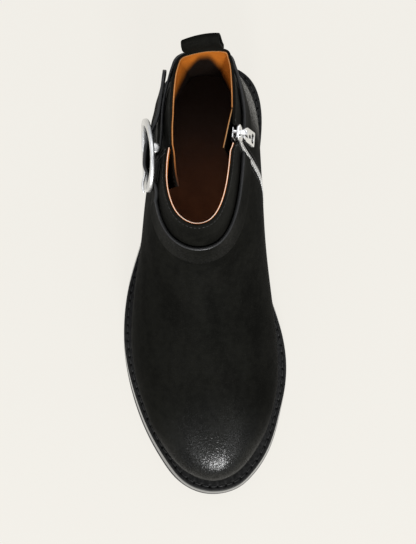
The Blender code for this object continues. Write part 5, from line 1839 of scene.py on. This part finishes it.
def build_loop_stitches():
    outside = loop_face[:40, loop_face.shape[1] // 2, 2] - COLLAR_BACK
    low, high = np.argmin(np.abs(outside + 18.5)), np.argmin(np.abs(outside + 3.0))
    left, right = 5, loop_face.shape[1] - 6
    path = np.concatenate([
        loop_face[low:high, left], loop_face[high, left:right], loop_face[low:high, right][::-1],
        loop_face[low, left:right][::-1],
    ])
    rear = np.tile([0.0, -1.0, 0.0], (len(path), 1))
    row = threads(path, rear, SEAM_PITCH, 2.0, SEAM_RADIUS, closed=True)
    return make_piece("pull_loop_stitching", [row], [upper_thread])


seat(build_loop_stitches(), "upper")

# %% [markdown]
# The stage is a plain pale floor. A lit floor would be brighter near a lamp, so much of this one's
# brightness is its own. It stays even, as in a catalogue picture, and the rest takes a faint shadow under
# the boot.

# %% Floor
FLOOR_REACH = 6.0
FLOOR_GLOW, FLOOR_GLOW_STRENGTH = (0.879, 0.855, 0.799, 1.0), 0.925
FLOOR_MATT = (0.050, 0.0486, 0.0455, 1.0)


def build_floor():
    mesh = bpy.data.meshes.new("studio_floor")
    corners = [(-1, -1), (1, -1), (1, 1), (-1, 1)]
    mesh.from_pydata([(x * FLOOR_REACH, y * FLOOR_REACH, 0) for x, y in corners], [], [(0, 1, 2, 3)])
    floor = bpy.data.objects.new("studio_floor", mesh)
    bpy.context.scene.collection.objects.link(floor)
    paper = bpy.data.materials.new("pale_paper")
    paper.use_nodes = True
    nodes, links = paper.node_tree.nodes, paper.node_tree.links
    nodes.clear()
    glow, matt = nodes.new("ShaderNodeEmission"), nodes.new("ShaderNodeBsdfDiffuse")
    mix, output = nodes.new("ShaderNodeAddShader"), nodes.new("ShaderNodeOutputMaterial")
    glow.inputs["Color"].default_value = FLOOR_GLOW
    glow.inputs["Strength"].default_value = FLOOR_GLOW_STRENGTH
    matt.inputs["Color"].default_value = FLOOR_MATT
    links.new(glow.outputs[0], mix.inputs[0])
    links.new(matt.outputs[0], mix.inputs[1])
    links.new(mix.outputs[0], output.inputs["Surface"])
    mesh.materials.append(paper)
    print("floor", 2 * FLOOR_REACH, "m wide")


build_floor()

# %% [markdown]
# The light is soft. A pale sky fills the shade, and six soft boxes stand round the boot: a strong one in
# front of the toe, whose reflection makes the bright patch on the toe's crown, a weak one beside it, one on
# each side, one for the heel, and a large one overhead.
# One big lamp would do for a pale object. Black leather shows lights more by their reflections than by its
# own colour, so where each box stands matters more than how strong it is.

# %% Studio light
def soft_box(name, place, aim, size, watts):
    data = bpy.data.lights.new(name, "AREA")
    data.shape, data.size, data.size_y, data.energy = "RECTANGLE", size[0], size[1], watts
    lamp = bpy.data.objects.new(name, data)
    lamp.location = place
    x, y, z = np.array(aim) - np.array(place)
    yaw, pitch = math.atan2(x, -y), math.atan2(-z, math.hypot(x, y))
    lamp.rotation_euler = (math.pi / 2 - pitch, 0.0, yaw + math.pi)
    bpy.context.scene.collection.objects.link(lamp)


soft_box("toe_box", (0.17, -1.38, 0.78), (0.0, -0.2, 0.05), (0.32, 0.26), 22.0)
soft_box("second_toe_box", (-0.40, -1.20, 1.0), (0.0, -0.2, 0.05), (0.25, 0.25), 1.6)
soft_box("inner_side_box", (0.70, -1.10, 0.95), (0.0, -0.16, 0.06), (0.2, 0.8), 1.8)
soft_box("heel_box", (0.95, 0.68, 0.75), (0.03, 0.0, 0.07), (0.3, 0.3), 2.0)
soft_box("outer_side_box", (-1.35, -0.35, 0.9), (0.0, -0.08, 0.06), (0.5, 0.7), 2.5)
soft_box("top_box", (0.0, 0.55, 1.7), (0.0, -0.05, 0.06), (0.9, 0.6), 5.0)

sky = bpy.data.worlds.new("studio_air")
sky.use_nodes = True
air = sky.node_tree.nodes["Background"].inputs
air["Color"].default_value, air["Strength"].default_value = (0.93, 0.95, 1.0, 1.0), 0.80
bpy.context.scene.world = sky
bpy.context.scene.view_settings.view_transform = "Standard"

# %% [markdown]
# The photograph was taken from almost straight above, a little to the toe side of the boot's middle, with
# a long lens. A camera without perspective would come close, but the collar is nearer to the lens than the
# sole and looks larger. The camera's height and lens are set so that one pixel is 0.65 mm at the floor.

# %% Camera
CAMERA_HEIGHT = 1.5
PIXEL_AT_FLOOR = 0.00065
FRAME_LONG_SIDE = 544
SENSOR = 36.0
AIM = (0.00065, -0.1017)
TILT = math.radians(2.52)

lens = bpy.data.cameras.new("camera")
lens.sensor_width, lens.sensor_fit = SENSOR, "AUTO"
lens.lens = SENSOR / FRAME_LONG_SIDE * CAMERA_HEIGHT / PIXEL_AT_FLOOR
camera = bpy.data.objects.new("camera", lens)
camera.location = (AIM[0], AIM[1] - CAMERA_HEIGHT * math.tan(TILT), CAMERA_HEIGHT)
camera.rotation_euler = (TILT, 0.0, 0.0)
bpy.context.scene.collection.objects.link(camera)
bpy.context.scene.camera = camera
print("lens", round(lens.lens, 1), "mm")
